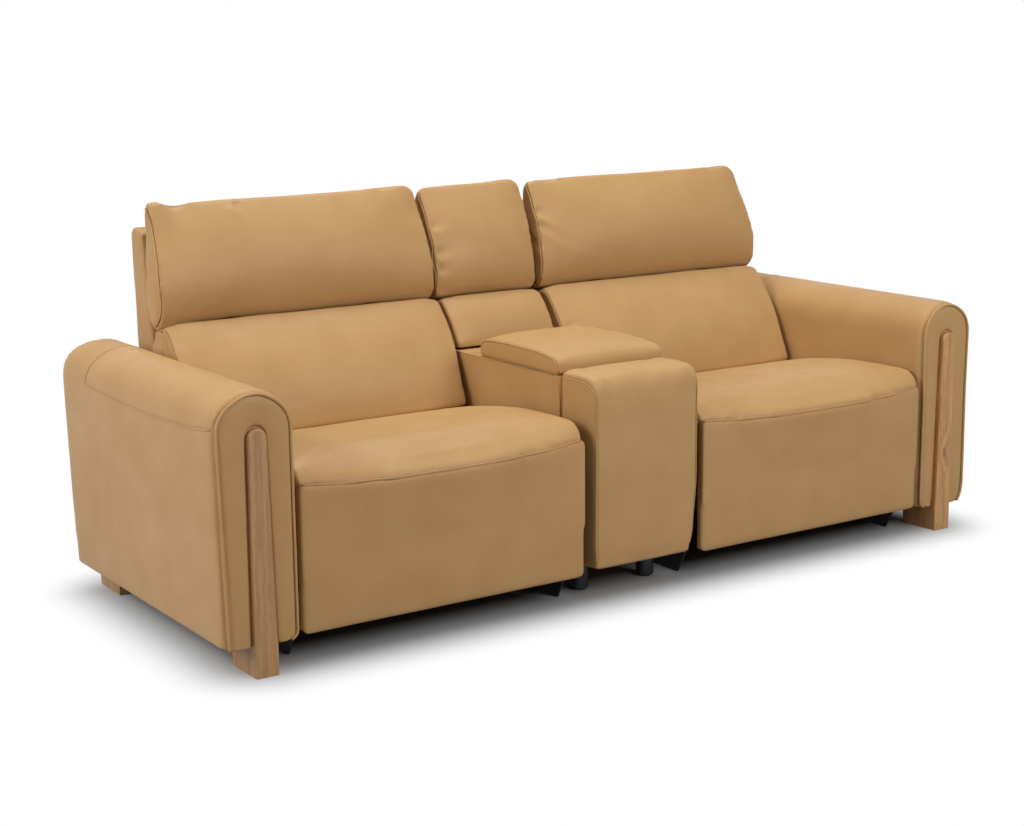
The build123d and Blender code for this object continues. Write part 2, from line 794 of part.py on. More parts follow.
def head_outline(full, rear, top_rear):
    """Upper back cushion: its round underside rolls on the headrest axis."""
    px, pz = HEAD_PIVOT
    r = HEAD_ROUND
    k = r * cos(radians(45))
    front = (px - r, pz)
    top_front = behind(104 - 6 * full, HEAD_TOP - 6 + 6 * full)
    return edge_line(
        [
            front,
            ((px - k, pz - k), (px, pz - r)),
            ((px + k, pz - k), rear),
            top_rear,
            (behind(130, HEAD_TOP + 10 * full), top_front),
            (behind(62 - 34 * full, between(front, top_front, 0.5)[1]), front),
        ]
    )


def head_section(full):
    rear = plus(HEAD_PIVOT, (HEAD_ROUND, 0))
    return head_outline(full, rear, behind(146, HEAD_TOP - HEAD_FALL + 4 * full))


def headrest_cushion():
    cushion = crowned(head_section, HEAD_HALF)
    slot = side_face([plus(HEAD_PIVOT, step) for step in ((-24, -60), (60, -60), (60, 62), (-24, 20))])
    for x in (-HINGE_OFFSET, HINGE_OFFSET):
        cushion -= across(slot, x - HINGE_SLOT, x + HINGE_SLOT)
    half = HEAD_HALF - HEAD_BOARD_INSET
    return cushion - across(head_board_face(), -half, half)


def lumbar_section_from(base):
    """Section of a lower back cushion whose underside is at the given height."""
    share = (base - LUMBAR_LOW[1]) / (LUMBAR_HIGH[1] - LUMBAR_LOW[1])
    start = between(LUMBAR_LOW, LUMBAR_HIGH, share)
    middle = between(start, LUMBAR_HIGH, 0.5)
    least, swell = LUMBAR_SWELL

    def section(full):
        bulge = least + swell * full
        return edge_line(
            [
                start,
                (plus(middle, (-0.87 * bulge, 0.5 * bulge)), LUMBAR_HIGH),
                (plus(LUMBAR_HIGH, (12, 2)), plus(LUMBAR_HIGH, (24, 0.5))),
                on_front_line(LUMBAR_TOP_REAR_Z),
                on_front_line(base),
            ]
        )

    return section


# Console


def console_shell():
    """Upholstered box with the storage bin let into its top."""
    outer = side_face(
        (
            (CONSOLE_FRONT_BACK, CONSOLE_BASE),
            (CONSOLE_BACK, CONSOLE_BASE),
            (CONSOLE_BACK, CONSOLE_TOP - CONSOLE_TOP_FALL),
            behind(-72, CONSOLE_TOP),
            (CONSOLE_FRONT_BACK, CONSOLE_TOP),
        )
    )
    hollow = side_box((BIN[0], BIN_FLOOR), (BIN[1], CONSOLE_TOP + 1))
    return across(outer, -CONSOLE_HALF, CONSOLE_HALF) - across(hollow, -BIN_HALF, BIN_HALF)


def console_front_section(full):
    """Padded front block whose leather rolls over a rounded edge to the top."""
    top = CONSOLE_FRONT_TOP + CONSOLE_FRONT_SWELL * full
    round_ = CONSOLE_FRONT_ROUND
    front = -6 * full
    corner = 0.29 * round_
    return edge_line(
        [
            (front + 2, CONSOLE_BASE),
            (front, top - round_),
            ((front + corner - 2, top - corner), (round_, top)),
            ((2 * round_, top + 3), (CONSOLE_FRONT_BACK, top - 2)),
            (CONSOLE_FRONT_BACK, CONSOLE_BASE),
        ]
    )


def console_feet():
    foot = CONSOLE_FOOT_RADIUS
    flange = CONSOLE_FOOT_FLANGE
    profile = make_face(
        Polyline(
            (0, 0),
            (foot - flange, 0),
            (foot, flange),
            (foot, CONSOLE_BASE - flange),
            (foot + flange, CONSOLE_BASE),
            (0, CONSOLE_BASE),
            close=True,
        )
    )
    turned = revolve(Plane.XZ * profile, axis=Axis.Z)
    spots = [(side * CONSOLE_FOOT_X, FACE_Y + depth) for side in (-1, 1) for depth in CONSOLE_FOOT_DEPTHS]
    return [Pos(x, y, 0) * turned for x, y in spots]


def console_back_frame():
    """Fixed outer back behind the console, flush with the reclining backs beside it."""
    foot = [(BACK_REAR[1][0], CONSOLE_APRON), (CONSOLE_BACK, CONSOLE_APRON)]
    half = CONSOLE_HALF - CONSOLE_FRAME_INSET
    return across(edge_line(slab_top() + foot), -half, half) - console_shell()


def console_upper_section(full):
    """As the headrests, but resting on the fixed back behind it."""
    clear = (-SEATED_GAP, 0)
    rear = plus(on_upper_line(HEAD_PIVOT[1]), clear)
    return head_outline(full, rear, plus(on_upper_line(HEAD_TOP - CONSOLE_HEAD_FALL + 4 * full), clear))


def lid_knuckles(face, spots):
    """Hinge knuckles of one length at the given places along the hinge."""
    half = LID_KNUCKLE_LENGTH / 2
    return [across(face, x - half, x + half) for x in spots]


def lid_board():
    """Lid board on the box, with hinge knuckles at the back."""
    half = CONSOLE_HALF - LID_BOARD_INSET
    top = LID_BASE + LID_BOARD
    board = across(side_box((LID[0], LID_BASE), (LID[1], top)), -half, half)
    edge = Polyline(at((LID[1] - 4, LID_BASE)), at((LID[1] - 4, top)), at((LID[1], top)), close=True)
    knuckle = make_hull(disc(LID_PIVOT, LID_KNUCKLE).edges() + edge.edges())
    knuckle -= disc(LID_PIVOT, LID_PIN + PIN_CLEARANCE)
    for piece in lid_knuckles(knuckle, (-LID_KNUCKLE_X, LID_KNUCKLE_X)):
        board += piece
    return board


def lid_section(full):
    """Lid cushion: a boxed edge with a crown that is drawn down at its ends."""
    low = LID_BASE + LID_BOARD
    crown = LID_CROWN - LID_DRAW * (1 - full)
    shoulder = LID_SHOULDER - 0.4 * LID_DRAW * (1 - full)
    side = (low + shoulder) / 2 + 8
    front_shoulder = (LID[0] + 61, shoulder)
    rear_shoulder = (LID[1] - 51, shoulder)
    middle = between(front_shoulder, rear_shoulder, 0.5)[0]
    return edge_line(
        [
            (LID[0] - LID_OVERHANG, low),
            ((LID[0] + 18, side), front_shoulder),
            ((middle, crown), rear_shoulder),
            ((LID[1] - 12, side), (LID[1], low)),
        ]
    )


def lid_hinge():
    """Hinge pin with three fixed knuckles on a leaf screwed to the box."""
    pivot = LID_PIVOT[0]
    leaf = side_box((pivot - 3, CONSOLE_TOP), (pivot + 40, CONSOLE_TOP + 3))
    face = disc(LID_PIVOT, LID_KNUCKLE)
    hinge = pin(LID_PIVOT, LID_PIN, -LID_HINGE_HALF, LID_HINGE_HALF)
    outside = LID_KNUCKLE_X + LID_KNUCKLE_LENGTH / 2 + PLATE_GAP
    inside = LID_KNUCKLE_X - LID_KNUCKLE_LENGTH / 2 - PLATE_GAP
    for x0, x1 in ((-LID_HINGE_HALF, -outside), (-inside, inside), (outside, LID_HINGE_HALF)):
        hinge += across(face, x0, x1)
        hinge += across(leaf, x0, x1)
    return hinge


# Switches and inlet


def switch_spot(side):
    return at((SWITCH_DEPTH + side * ROCKER_OFFSET, SWITCH_Z))


def switch_plate(x):
    """Plate on a face looking towards +X, with a window and pin bores for each rocker."""
    outline = Pos(*at((SWITCH_DEPTH, SWITCH_Z))) * RectangleRounded(*SWITCH_SIZE, SWITCH_ROUND)
    plate = across(outline, x, x + SWITCH_THICK)
    window = Rectangle(ROCKER_SIZE[0] + 2 * ROCKER_PLAY, ROCKER_SIZE[1] + ROCKER_PLAY)
    bore = Cylinder(ROCKER_PIN + PIN_CLEARANCE, ROCKER_SIZE[1] + 2 * ROCKER_PIN_LENGTH + ROCKER_PLAY)
    for side in (-1, 1):
        y, z = switch_spot(side)
        plate -= across(Pos(y, z) * window, x + SWITCH_FLOOR, x + SWITCH_THICK + 1)
        plate -= Pos(x + ROCKER_DEPTH, y, z) * bore
    return plate


def rocker(x, side):
    """Rocking cap on its pin; pressing either end tips it."""
    length, height = ROCKER_SIZE
    y, z = switch_spot(side)
    half = length / 2
    face = make_face(
        Curve()
        + [
            Line((ROCKER_BASE, -half), (ROCKER_TOP, -half)),
            ThreePointArc((ROCKER_TOP, -half), (ROCKER_TOP - ROCKER_DISH, 0), (ROCKER_TOP, half)),
            Line((ROCKER_TOP, half), (ROCKER_BASE, half)),
            Line((ROCKER_BASE, half), (ROCKER_BASE, -half)),
        ]
    )
    cap = Pos(0, 0, -height / 2) * extrude(face, amount=height)
    cap += Pos(ROCKER_DEPTH, 0, 0) * Cylinder(ROCKER_PIN, height + 2 * ROCKER_PIN_LENGTH)
    return Pos(x, y, z) * cap


def power_inlet():
    """Recessed socket plate at the foot of the console's back."""
    rear = BACK_REAR[1][0]
    width, height, thick = INLET_PLATE
    inner_width, inner_height, floor = INLET_SOCKET
    plate = backwards(Pos(0, INLET_Z) * RectangleRounded(width, height, thick), rear, rear + thick)
    socket = Pos(0, INLET_Z) * RectangleRounded(inner_width, inner_height, floor)
    return plate - backwards(socket, rear + floor, rear + thick + 1)


# All nodes


def save(name, shape):
    export_step(shape, f"parts/{name}.step")


def group(shapes):
    return Compound(children=[solid for shape in shapes for solid in shape.solids()])


def shifted(shapes, x):
    return [Pos(x, 0, 0) * shape for shape in shapes]


def in_both_seats(shapes):
    return group(shifted(shapes, -SEAT_CENTRE) + shifted(shapes, SEAT_CENTRE))


def save_seat(side, x, switch_x):
    """One seat: fixed soft parts and motors, then every piece that moves."""
    forks = [hinge_fork(-HINGE_OFFSET), hinge_fork(HINGE_OFFSET)]
    parts = {
        "seat_cushion": [crowned(seat_section, SEAT_HALF)],
        "footrest_actuator": [footrest_actuator()],
        "back_actuator": [back_actuator()],
        "drive_shaft": [drive_shaft()],
        "swing_links": swing_links(),
        "reach_links": reach_links(),
        "tilt_links": tilt_links(),
        "footrest_brackets": both_sides(footrest_bracket()),
        "footrest_board": [footrest_board()],
        "footrest_pad": [crowned(pad_section, SEAT_HALF)],
        "footrest_carriage": [footrest_carriage()],
        "back_frame": [back_frame()],
        "back_brackets": both_sides(back_bracket()) + [back_crank()] + forks,
        "back_carriage": [back_carriage()],
        "lumbar_cushion": [crowned(lumbar_section_from(LUMBAR_LOW[1]), LUMBAR_HALF)],
        "headrest_frame": [headrest_frame()],
        "headrest_cushion": [headrest_cushion()],
    }
    for name, shapes in parts.items():
        save(f"{name}_{side}", group(shifted(shapes, x)))
    save(f"footrest_rocker_{side}", rocker(switch_x, -1))
    save(f"back_rocker_{side}", rocker(switch_x, 1))


def save_frame():
    for name, shape in (("arm_body", arm_body()), ("arm_face", arm_face())):
        save(f"{name}_right", shape)
        save(f"{name}_left", mirror(shape, about=Plane.YZ))
    save("front_legs", group(both_sides(front_leg())))
    save("rear_legs", group(both_sides(rear_leg())))
    save("side_plates", in_both_seats(both_sides(side_plate())))
    save("cross_tubes", in_both_seats(cross_tubes()))
    save("seat_rails", in_both_seats(seat_rails()))
    save("seat_springs", in_both_seats(seat_springs()))
    save("frame_spacers", group(frame_spacers() + in_both_seats(seat_standoffs()).solids()))


def save_console():
    save("console_shell", console_shell())
    save("console_front", crowned(console_front_section, CONSOLE_HALF))
    save("console_feet", group(console_feet()))
    save("console_back_frame", console_back_frame())
    save("console_lower_cushion", crowned(lumbar_section_from(CONSOLE_TOP + PLATE_GAP), CONSOLE_HALF))
    save("console_upper_cushion", crowned(console_upper_section, CONSOLE_HALF))
    save("lid_board", lid_board())
    save("lid_cushion", crowned(lid_section, CONSOLE_HALF + LID_OVERHANG))
    save("lid_hinge", lid_hinge())
    save("power_inlet", power_inlet())


os.makedirs("parts", exist_ok=True)
LEFT_SWITCH_X = -ARM_INNER
RIGHT_SWITCH_X = CONSOLE_HALF
save_frame()
save_console()
save("switch_plates", group([switch_plate(LEFT_SWITCH_X), switch_plate(RIGHT_SWITCH_X)]))
save_seat("left", -SEAT_CENTRE, LEFT_SWITCH_X)
save_seat("right", SEAT_CENTRE, RIGHT_SWITCH_X)
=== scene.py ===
"""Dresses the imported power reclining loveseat: padded leather, welts and stitching, oak stiles, the steel
and plastic of its mechanism, and a plain studio stage. It is laid out as an add-on and run as a script."""
import json
import math

import bmesh
import bpy
import numpy as np
from bpy.props import FloatProperty, FloatVectorProperty, IntProperty, PointerProperty
from mathutils import Matrix, Vector, noise
from mathutils.bvhtree import BVHTree
from mathutils.kdtree import KDTree


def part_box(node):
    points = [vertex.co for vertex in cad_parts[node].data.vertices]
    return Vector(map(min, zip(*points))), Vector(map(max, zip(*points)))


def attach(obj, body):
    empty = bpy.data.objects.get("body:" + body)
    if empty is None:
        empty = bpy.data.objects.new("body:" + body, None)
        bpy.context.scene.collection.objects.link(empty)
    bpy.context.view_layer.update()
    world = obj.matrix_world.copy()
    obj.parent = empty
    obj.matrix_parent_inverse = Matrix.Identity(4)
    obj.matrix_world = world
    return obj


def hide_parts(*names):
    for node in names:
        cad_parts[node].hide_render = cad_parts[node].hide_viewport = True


bl_info = {
    "name": "Reclining loveseat dressing",
    "version": (1, 0, 0),
    "blender": (4, 5, 0),
    "location": "3D View > Sidebar > Loveseat",
    "description": "Upholstery, wood, metal and stage of a power reclining loveseat",
    "category": "Object",
}

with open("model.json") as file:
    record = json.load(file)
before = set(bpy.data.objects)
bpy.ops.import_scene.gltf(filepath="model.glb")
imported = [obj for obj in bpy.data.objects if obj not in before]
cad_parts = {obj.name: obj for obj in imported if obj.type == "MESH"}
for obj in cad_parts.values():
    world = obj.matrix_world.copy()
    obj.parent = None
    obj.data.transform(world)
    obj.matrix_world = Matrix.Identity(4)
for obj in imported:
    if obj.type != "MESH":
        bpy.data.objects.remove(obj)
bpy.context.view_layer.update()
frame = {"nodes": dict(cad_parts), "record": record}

# Places taken from the frame, in metres. Depths count backwards from the arms' front faces.
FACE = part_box("arm_face_left")[0].y
SEAT_LOW, SEAT_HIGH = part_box("seat_cushion_right")
SEAT_X = (SEAT_LOW.x + SEAT_HIGH.x) / 2
SEAT_HALF = (SEAT_HIGH.x - SEAT_LOW.x) / 2
HEAD_HALF = (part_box("headrest_cushion_right")[1].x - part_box("headrest_cushion_right")[0].x) / 2
LUMBAR_HALF = (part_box("lumbar_cushion_right")[1].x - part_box("lumbar_cushion_right")[0].x) / 2
CONSOLE_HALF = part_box("console_shell")[1].x
ARM_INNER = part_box("arm_body_right")[0].x
ARM_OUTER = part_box("arm_body_right")[1].x
ARM_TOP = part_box("arm_body_right")[1].z
ARM_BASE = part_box("arm_body_right")[0].z
ARCH_RADIUS = (ARM_OUTER - ARM_INNER) / 2
ARCH_X = (ARM_OUTER + ARM_INNER) / 2
SIDES = (("left", -1), ("right", 1))

# Further sizes, in metres: the arms' taper, the stiles in their fronts, the middle of the console's cushions.
ARM_TAPER = 0.010
STILE_FOOT_X, STILE_FOOT_WIDTH = ARCH_X - 0.0055, 0.057
STILE_TOP_X, STILE_TOP_WIDTH, STILE_TOP = ARCH_X - 0.002, 0.044, 0.563
CONSOLE_PAD_X = 0.005

# Powers that say how far out a cushion stays full, and the shares of its width and face where it is drawn.
NOSE_ROUND = 2.2
CUSHION_ROUND = 4.0
LOFT_HALF = (0.0, 0.2, 0.4, 0.55, 0.68, 0.78, 0.86, 0.92, 0.96, 0.985, 1.0)
LOFT_SHARES = [-share for share in reversed(LOFT_HALF)] + list(LOFT_HALF[1:])
BOW_STEPS = (0.0, 0.06, 0.14, 0.25, 0.38, 0.52, 0.66, 0.80, 0.91, 1.0)

# Sewing, in metres: the step along a sewn line, how near it holds the padding, where a cushion's end seam is
# looked for out and back from its edge, and where its stitching lies in and forwards from it.
SEW_STEP = 0.006
HELD_REACH = 0.009
SEAM_OUT, SEAM_BACK = 0.030, 0.010
ROW_IN, ROW_FORWARD = 0.003, 0.008


class LoveseatColours(bpy.types.PropertyGroup):
    leather: FloatVectorProperty(
        name="Leather", description="Main tan of the hide", subtype="COLOR", size=4,
        default=(0.50, 0.297, 0.124, 1), min=0, max=1,
    )
    leather_deep: FloatVectorProperty(
        name="Leather, deep", description="Darker tan in the mottling", subtype="COLOR", size=4,
        default=(0.465, 0.268, 0.106, 1), min=0, max=1,
    )
    thread: FloatVectorProperty(
        name="Thread", description="Topstitching thread", subtype="COLOR", size=4,
        default=(0.46, 0.27, 0.12, 1), min=0, max=1,
    )
    oak: FloatVectorProperty(
        name="Oak", description="Pale wood between the grain lines", subtype="COLOR", size=4,
        default=(0.49, 0.278, 0.115, 1), min=0, max=1,
    )
    oak_right: FloatVectorProperty(
        name="Oak on the right", description="Warmer board of the right leg", subtype="COLOR", size=4,
        min=0, max=1, default=(0.60, 0.315, 0.112, 1),
    )
    oak_deep: FloatVectorProperty(
        name="Oak, deep", description="Wood along the grain lines", subtype="COLOR", size=4,
        default=(0.27, 0.143, 0.056, 1), min=0, max=1,
    )
    floor: FloatVectorProperty(
        name="Floor", description="Pale studio floor", subtype="COLOR", size=4,
        default=(0.40, 0.40, 0.40, 1), min=0, max=1,
    )


class LoveseatSizes(bpy.types.PropertyGroup):
    voxel: FloatProperty(
        name="Panel grid", description="Mesh size of the padded pieces before subdivision", unit="LENGTH",
        default=0.010, min=0.004, max=0.02,
    )
    welt: FloatProperty(
        name="Welt radius", description="Half thickness of the sewn welts", unit="LENGTH",
        default=0.0026, min=0.001, max=0.006,
    )
    rim: FloatProperty(
        name="Arm welt radius", description="Half thickness of the welt round the arm fronts", unit="LENGTH",
        default=0.0034, min=0.002, max=0.008,
    )
    seam: FloatProperty(
        name="Seam depth", description="How far a seam is drawn into the padding", unit="LENGTH",
        default=0.0030, min=0.0, max=0.01,
    )
    stitch: FloatProperty(
        name="Stitch pitch", description="Distance from one stitch to the next", unit="LENGTH",
        default=0.0065, min=0.003, max=0.015,
    )
    pressure: FloatProperty(
        name="Stuffing pressure", description="Pressure of the stuffing in the padded pieces",
        default=4.0, min=0.0, max=10.0,
    )
    frames: IntProperty(
        name="Settling steps", description="Simulation steps of the stuffing", default=20, min=5, max=60,
    )


# Small geometry helpers


def place(x, depth, height):
    return Vector((x, FACE + depth, height))


def fullness(share, round_off=6.0):
    """How full a cushion is at a share of its half width: 1 in the middle, 0 at its ends."""
    return 1 - abs(share) ** round_off


def bowed(start, end, bow, lean=1.0):
    """Side view of a stuffed face from start to end, bowed forwards; a low lean bows it nearer the start."""
    along = Vector(end) - Vector(start)
    forward = Vector((-along.y, along.x)).normalized()
    if forward.x > 0:
        forward = -forward
    points = []
    for t in BOW_STEPS:
        spot = Vector(start) + along * t + forward * (bow * math.sin(math.pi * t**lean))
        points.append((spot.x, spot.y))
    return points


def spread(count, low=-1.0, high=1.0):
    return [low + (high - low) * i / (count - 1) for i in range(count)]


def new_object(name, mesh):
    obj = bpy.data.objects.new(name, mesh)
    bpy.context.scene.collection.objects.link(obj)
    return obj


def get_points(mesh):
    co = np.zeros(len(mesh.vertices) * 3, np.float32)
    mesh.vertices.foreach_get("co", co)
    return co.reshape(-1, 3).astype(float)


def set_points(mesh, points):
    mesh.vertices.foreach_set("co", points.astype(np.float32).ravel())
    mesh.update()


def get_normals(mesh):
    out = np.zeros(len(mesh.vertices) * 3, np.float32)
    mesh.vertex_normals.foreach_get("vector", out)
    return out.reshape(-1, 3).astype(float)


def shade_smooth(mesh):
    mesh.polygons.foreach_set("use_smooth", [True] * len(mesh.polygons))
    mesh.update()


def bake_modifiers(obj):
    """The object's mesh becomes what its modifiers make of it."""
    graph = bpy.context.evaluated_depsgraph_get()
    made = bpy.data.meshes.new_from_object(obj.evaluated_get(graph))
    old = obj.data
    obj.modifiers.clear()
    obj.data = made
    bpy.data.meshes.remove(old)


def object_from(name, bm, smooth=True):
    """A built form as a mesh object."""
    mesh = bpy.data.meshes.new(name)
    bm.to_mesh(mesh)
    bm.free()
    if smooth:
        shade_smooth(mesh)
    return new_object(name, mesh)


def point_tree(points):
    """A tree that finds the nearest of some points."""
    tree = KDTree(len(points))
    for i, p in enumerate(points):
        tree.insert(p, i)
    tree.balance()
    return tree


def add_prism(bm, outline, x0, x1):
    """A closed side view of (depth, height) points, pushed across from x0 to x1."""
    near = [bm.verts.new(place(x0, d, z)) for d, z in outline]
    far = [bm.verts.new(place(x1, d, z)) for d, z in outline]
    count = len(outline)
    bm.faces.new(near)
    bm.faces.new(list(reversed(far)))
    for i in range(count):
        j = (i + 1) % count
        bm.faces.new((near[i], far[i], far[j], near[j]))


# Padded pieces


def skin(name, bm, voxel, smoothing, cutter=None):
    """One even skin with rounded edges round closed forms, with slots cut where a cutter says."""
    bmesh.ops.remove_doubles(bm, verts=bm.verts, dist=0.00005)
    bmesh.ops.recalc_face_normals(bm, faces=bm.faces)
    obj = object_from(name, bm, smooth=False)
    if cutter:
        cut = obj.modifiers.new("slots", "BOOLEAN")
        cut.operation = "DIFFERENCE"
        cut.object = cutter
    remesh = obj.modifiers.new("skin", "REMESH")
    remesh.mode = "VOXEL"
    remesh.voxel_size = voxel
    smooth = obj.modifiers.new("ease", "SMOOTH")
    smooth.factor = 0.5
    smooth.iterations = smoothing
    bake_modifiers(obj)
    if cutter:
        bpy.data.objects.remove(cutter)
    return obj


def node_skin(name, node, voxel, smoothing):
    """A CAD solid as a padded form."""
    bm = bmesh.new()
    bm.from_mesh(frame["nodes"][node].data)
    return skin(name, bm, voxel, smoothing)


def loft_skin(name, section, centre, half, voxel, smoothing, cutter=None):
    """A cushion whose side view, a closed line of (depth, height) points, changes over its width."""
    bm = bmesh.new()
    rings = []
    for share in LOFT_SHARES:
        rings.append([bm.verts.new(place(centre + share * half, d, z)) for d, z in section(share)])
    count = len(rings[0])
    for a, b in zip(rings, rings[1:]):
        for i in range(count):
            j = (i + 1) % count
            bm.faces.new((a[i], b[i], b[j], a[j]))
    bm.faces.new(rings[0])
    bm.faces.new(list(reversed(rings[-1])))
    return skin(name, bm, voxel, smoothing, cutter)


def near_lines(lines, reach):
    """A test for points that lie near sewn lines."""
    tree = point_tree([p for line in lines for p in resample(line, 0.004)])
    return lambda p: tree.find(p)[2] < reach


def swell(obj, held, most, inset=0.005):
    """Stuffs a skin by a short pressure simulation; no point moves out by more than most.

    The held points stay, as they do along a seam or a frame. The free ones start a little inside the skin."""
    sizes = bpy.context.scene.loveseat_sizes
    mesh = obj.data
    rest = get_points(mesh)
    free = np.array([not held(Vector(p)) for p in rest])
    rest[free] -= get_normals(mesh)[free] * inset
    set_points(mesh, rest)
    group = obj.vertex_groups.new(name="held")
    group.add([int(i) for i in np.nonzero(~free)[0]], 1.0, "REPLACE")
    cloth = obj.modifiers.new("stuffing", "CLOTH")
    settings = cloth.settings
    settings.quality = 4
    settings.mass = 0.1
    settings.tension_stiffness = 5
    settings.compression_stiffness = 5
    settings.shear_stiffness = 2
    settings.bending_stiffness = 0.5
    settings.use_pressure = True
    settings.uniform_pressure_force = sizes.pressure
    settings.effector_weights.gravity = 0
    settings.vertex_group_mass = "held"
    cloth.collision_settings.use_collision = False
    cloth.collision_settings.use_self_collision = False
    cloth.point_cache.frame_start = 1
    cloth.point_cache.frame_end = sizes.frames
    scene = bpy.context.scene
    for step in range(1, sizes.frames + 1):
        scene.frame_set(step)
    graph = bpy.context.evaluated_depsgraph_get()
    moved = get_points(obj.evaluated_get(graph).data) - rest
    scene.frame_set(1)
    obj.modifiers.clear()
    obj.vertex_groups.clear()
    far = np.linalg.norm(moved, axis=1, keepdims=True)
    rest += moved * np.minimum(1.0, (most + inset) / np.maximum(far, 1e-9))
    set_points(mesh, rest)


def soft_step(low, high, value):
    """0 below low, 1 above high, and an even curve between."""
    t = np.clip((value - low) / (high - low), 0.0, 1.0)
    return t * t * (3 - 2 * t)


def push(obj, move):
    """Shifts the points of a piece by what a rule gives for their x, depth and height."""
    points = get_points(obj.data)
    x, depth, height = points[:, 0].copy(), points[:, 1] - FACE, points[:, 2].copy()
    dx, dd, dz = move(x, depth, height)
    points[:, 0] += dx
    points[:, 1] += dd
    points[:, 2] += dz
    set_points(obj.data, points)


def refine(obj, smoothing=2):
    """One smooth subdivision, after a light easing of the simulated skin."""
    ease = obj.modifiers.new("ease", "SMOOTH")
    ease.factor = 0.5
    ease.iterations = smoothing
    finer = obj.modifiers.new("finer", "SUBSURF")
    finer.levels = 1
    finer.render_levels = 1
    bake_modifiers(obj)
    shade_smooth(obj.data)


def resample(path, step):
    """The same line with evenly spaced points."""
    line = [Vector(p) for p in path]
    lengths = [0.0]
    for a, b in zip(line, line[1:]):
        lengths.append(lengths[-1] + (b - a).length)
    count = max(2, round(lengths[-1] / step) + 1)
    out = []
    k = 0
    for i in range(count):
        want = lengths[-1] * i / (count - 1)
        while k < len(line) - 2 and lengths[k + 1] < want:
            k += 1
        span = max(lengths[k + 1] - lengths[k], 1e-9)
        out.append(line[k].lerp(line[k + 1], (want - lengths[k]) / span))
    return out


def relax(path, rounds):
    """Rounds the corners of a line and keeps its ends."""
    line = [Vector(p) for p in path]
    for _ in range(rounds):
        kept = [p.copy() for p in line]
        for i in range(1, len(line) - 1):
            line[i] = (kept[i - 1] + kept[i] * 2 + kept[i + 1]) / 4
    return line


def tree_of(obj):
    mesh = obj.data
    points = [v.co.copy() for v in mesh.vertices]
    faces = [tuple(p.vertices) for p in mesh.polygons]
    return BVHTree.FromPolygons(points, faces)


def on_skin(tree, path):
    """The line laid on a skin, with the skin's normals."""
    spots = []
    normals = []
    for p in path:
        spot, normal, _, _ = tree.find_nearest(p)
        spots.append(spot)
        normals.append(normal)
    return spots, normals


def sewn_line(tree, line, rounds):
    """A line with eased corners laid on a skin, with the skin's normals."""
    path, normals = on_skin(tree, relax(resample(line, SEW_STEP), rounds))
    return relax(path, 3), normals


def carve(obj, path, width, depth):
    """Draws a seam into the padding along a line: a narrow valley with soft shoulders."""
    tree = point_tree(resample(path, 0.003))
    mesh = obj.data
    points = get_points(mesh)
    normals = get_normals(mesh)
    for i, p in enumerate(points):
        gap = tree.find(Vector(p))[2]
        if gap < 3 * width:
            points[i] -= normals[i] * depth * math.exp(-((gap / width) ** 2))
    set_points(mesh, points)


def pucker(obj, start, end, width, depth):
    """A short fold that runs out of a seam: a valley with a ridge beside it, dying away towards its end."""
    lead, ridge, ridge_place, reach = 0.15, 0.55, 1.7, 3.2
    mesh = obj.data
    points = get_points(mesh)
    normals = get_normals(mesh)
    a = np.array(start)
    run = np.array(end) - a
    length = np.linalg.norm(run)
    along = run / length
    for i, p in enumerate(points):
        offset = p - a
        t = float(offset @ along) / length
        if not -lead < t < 1.1:
            continue
        side = np.cross(along, normals[i])
        out = float(offset @ side) / width
        near = float(np.linalg.norm(offset - along * t * length))
        if near > reach * width:
            continue
        fade = max(0.0, 1 - max(t, 0)) ** 1.3 * min(1.0, (t + lead) / lead)
        wave = math.exp(-(out**2)) - ridge * math.exp(-((out - ridge_place) ** 2))
        points[i] -= normals[i] * depth * fade * wave
    set_points(mesh, points)


def ripple(obj, size, depth, seed):
    """Slow unevenness of hide over foam."""
    mesh = obj.data
    points = get_points(mesh)
    normals = get_normals(mesh)
    shift = Vector((seed * 3.7, seed * 1.9, seed * 5.3))
    for i, p in enumerate(points):
        points[i] += normals[i] * depth * noise.noise(Vector(p) / size + shift)
    set_points(mesh, points)


def join_rings(bm, rings):
    """Faces from each ring of points to the next, and a cap on both ends."""
    count = len(rings[0])
    for a, b in zip(rings, rings[1:]):
        for i in range(count):
            j = (i + 1) % count
            bm.faces.new((a[i], a[j], b[j], b[i]))
    bm.faces.new(list(reversed(rings[0])))
    bm.faces.new(rings[-1])
    bmesh.ops.recalc_face_normals(bm, faces=bm.faces)


def sweep(name, path, normals, wide, high, sides=10):
    """A tube with an oval section, flat side on the skin, along a line."""
    bm = bmesh.new()
    rings = []
    count = len(path)
    for i, p in enumerate(path):
        before = path[i - 1] if i else p
        after = path[i + 1] if i < count - 1 else p
        run = (after - before).normalized()
        up = (normals[i] - run * normals[i].dot(run)).normalized()
        side = run.cross(up)
        ring = []
        for k in range(sides):
            turn = 2 * math.pi * k / sides
            ring.append(bm.verts.new(p + side * (wide * math.cos(turn)) + up * (high * math.sin(turn))))
        rings.append(ring)
    join_rings(bm, rings)
    return object_from(name, bm)


def edge_welt(name, path, normals, high=0.7):
    """A low welt along a cushion's edge; high is its height as a share of the welt radius."""
    radius = bpy.context.scene.loveseat_sizes.welt
    return sweep(name, path, normals, radius * 0.8, radius * high)


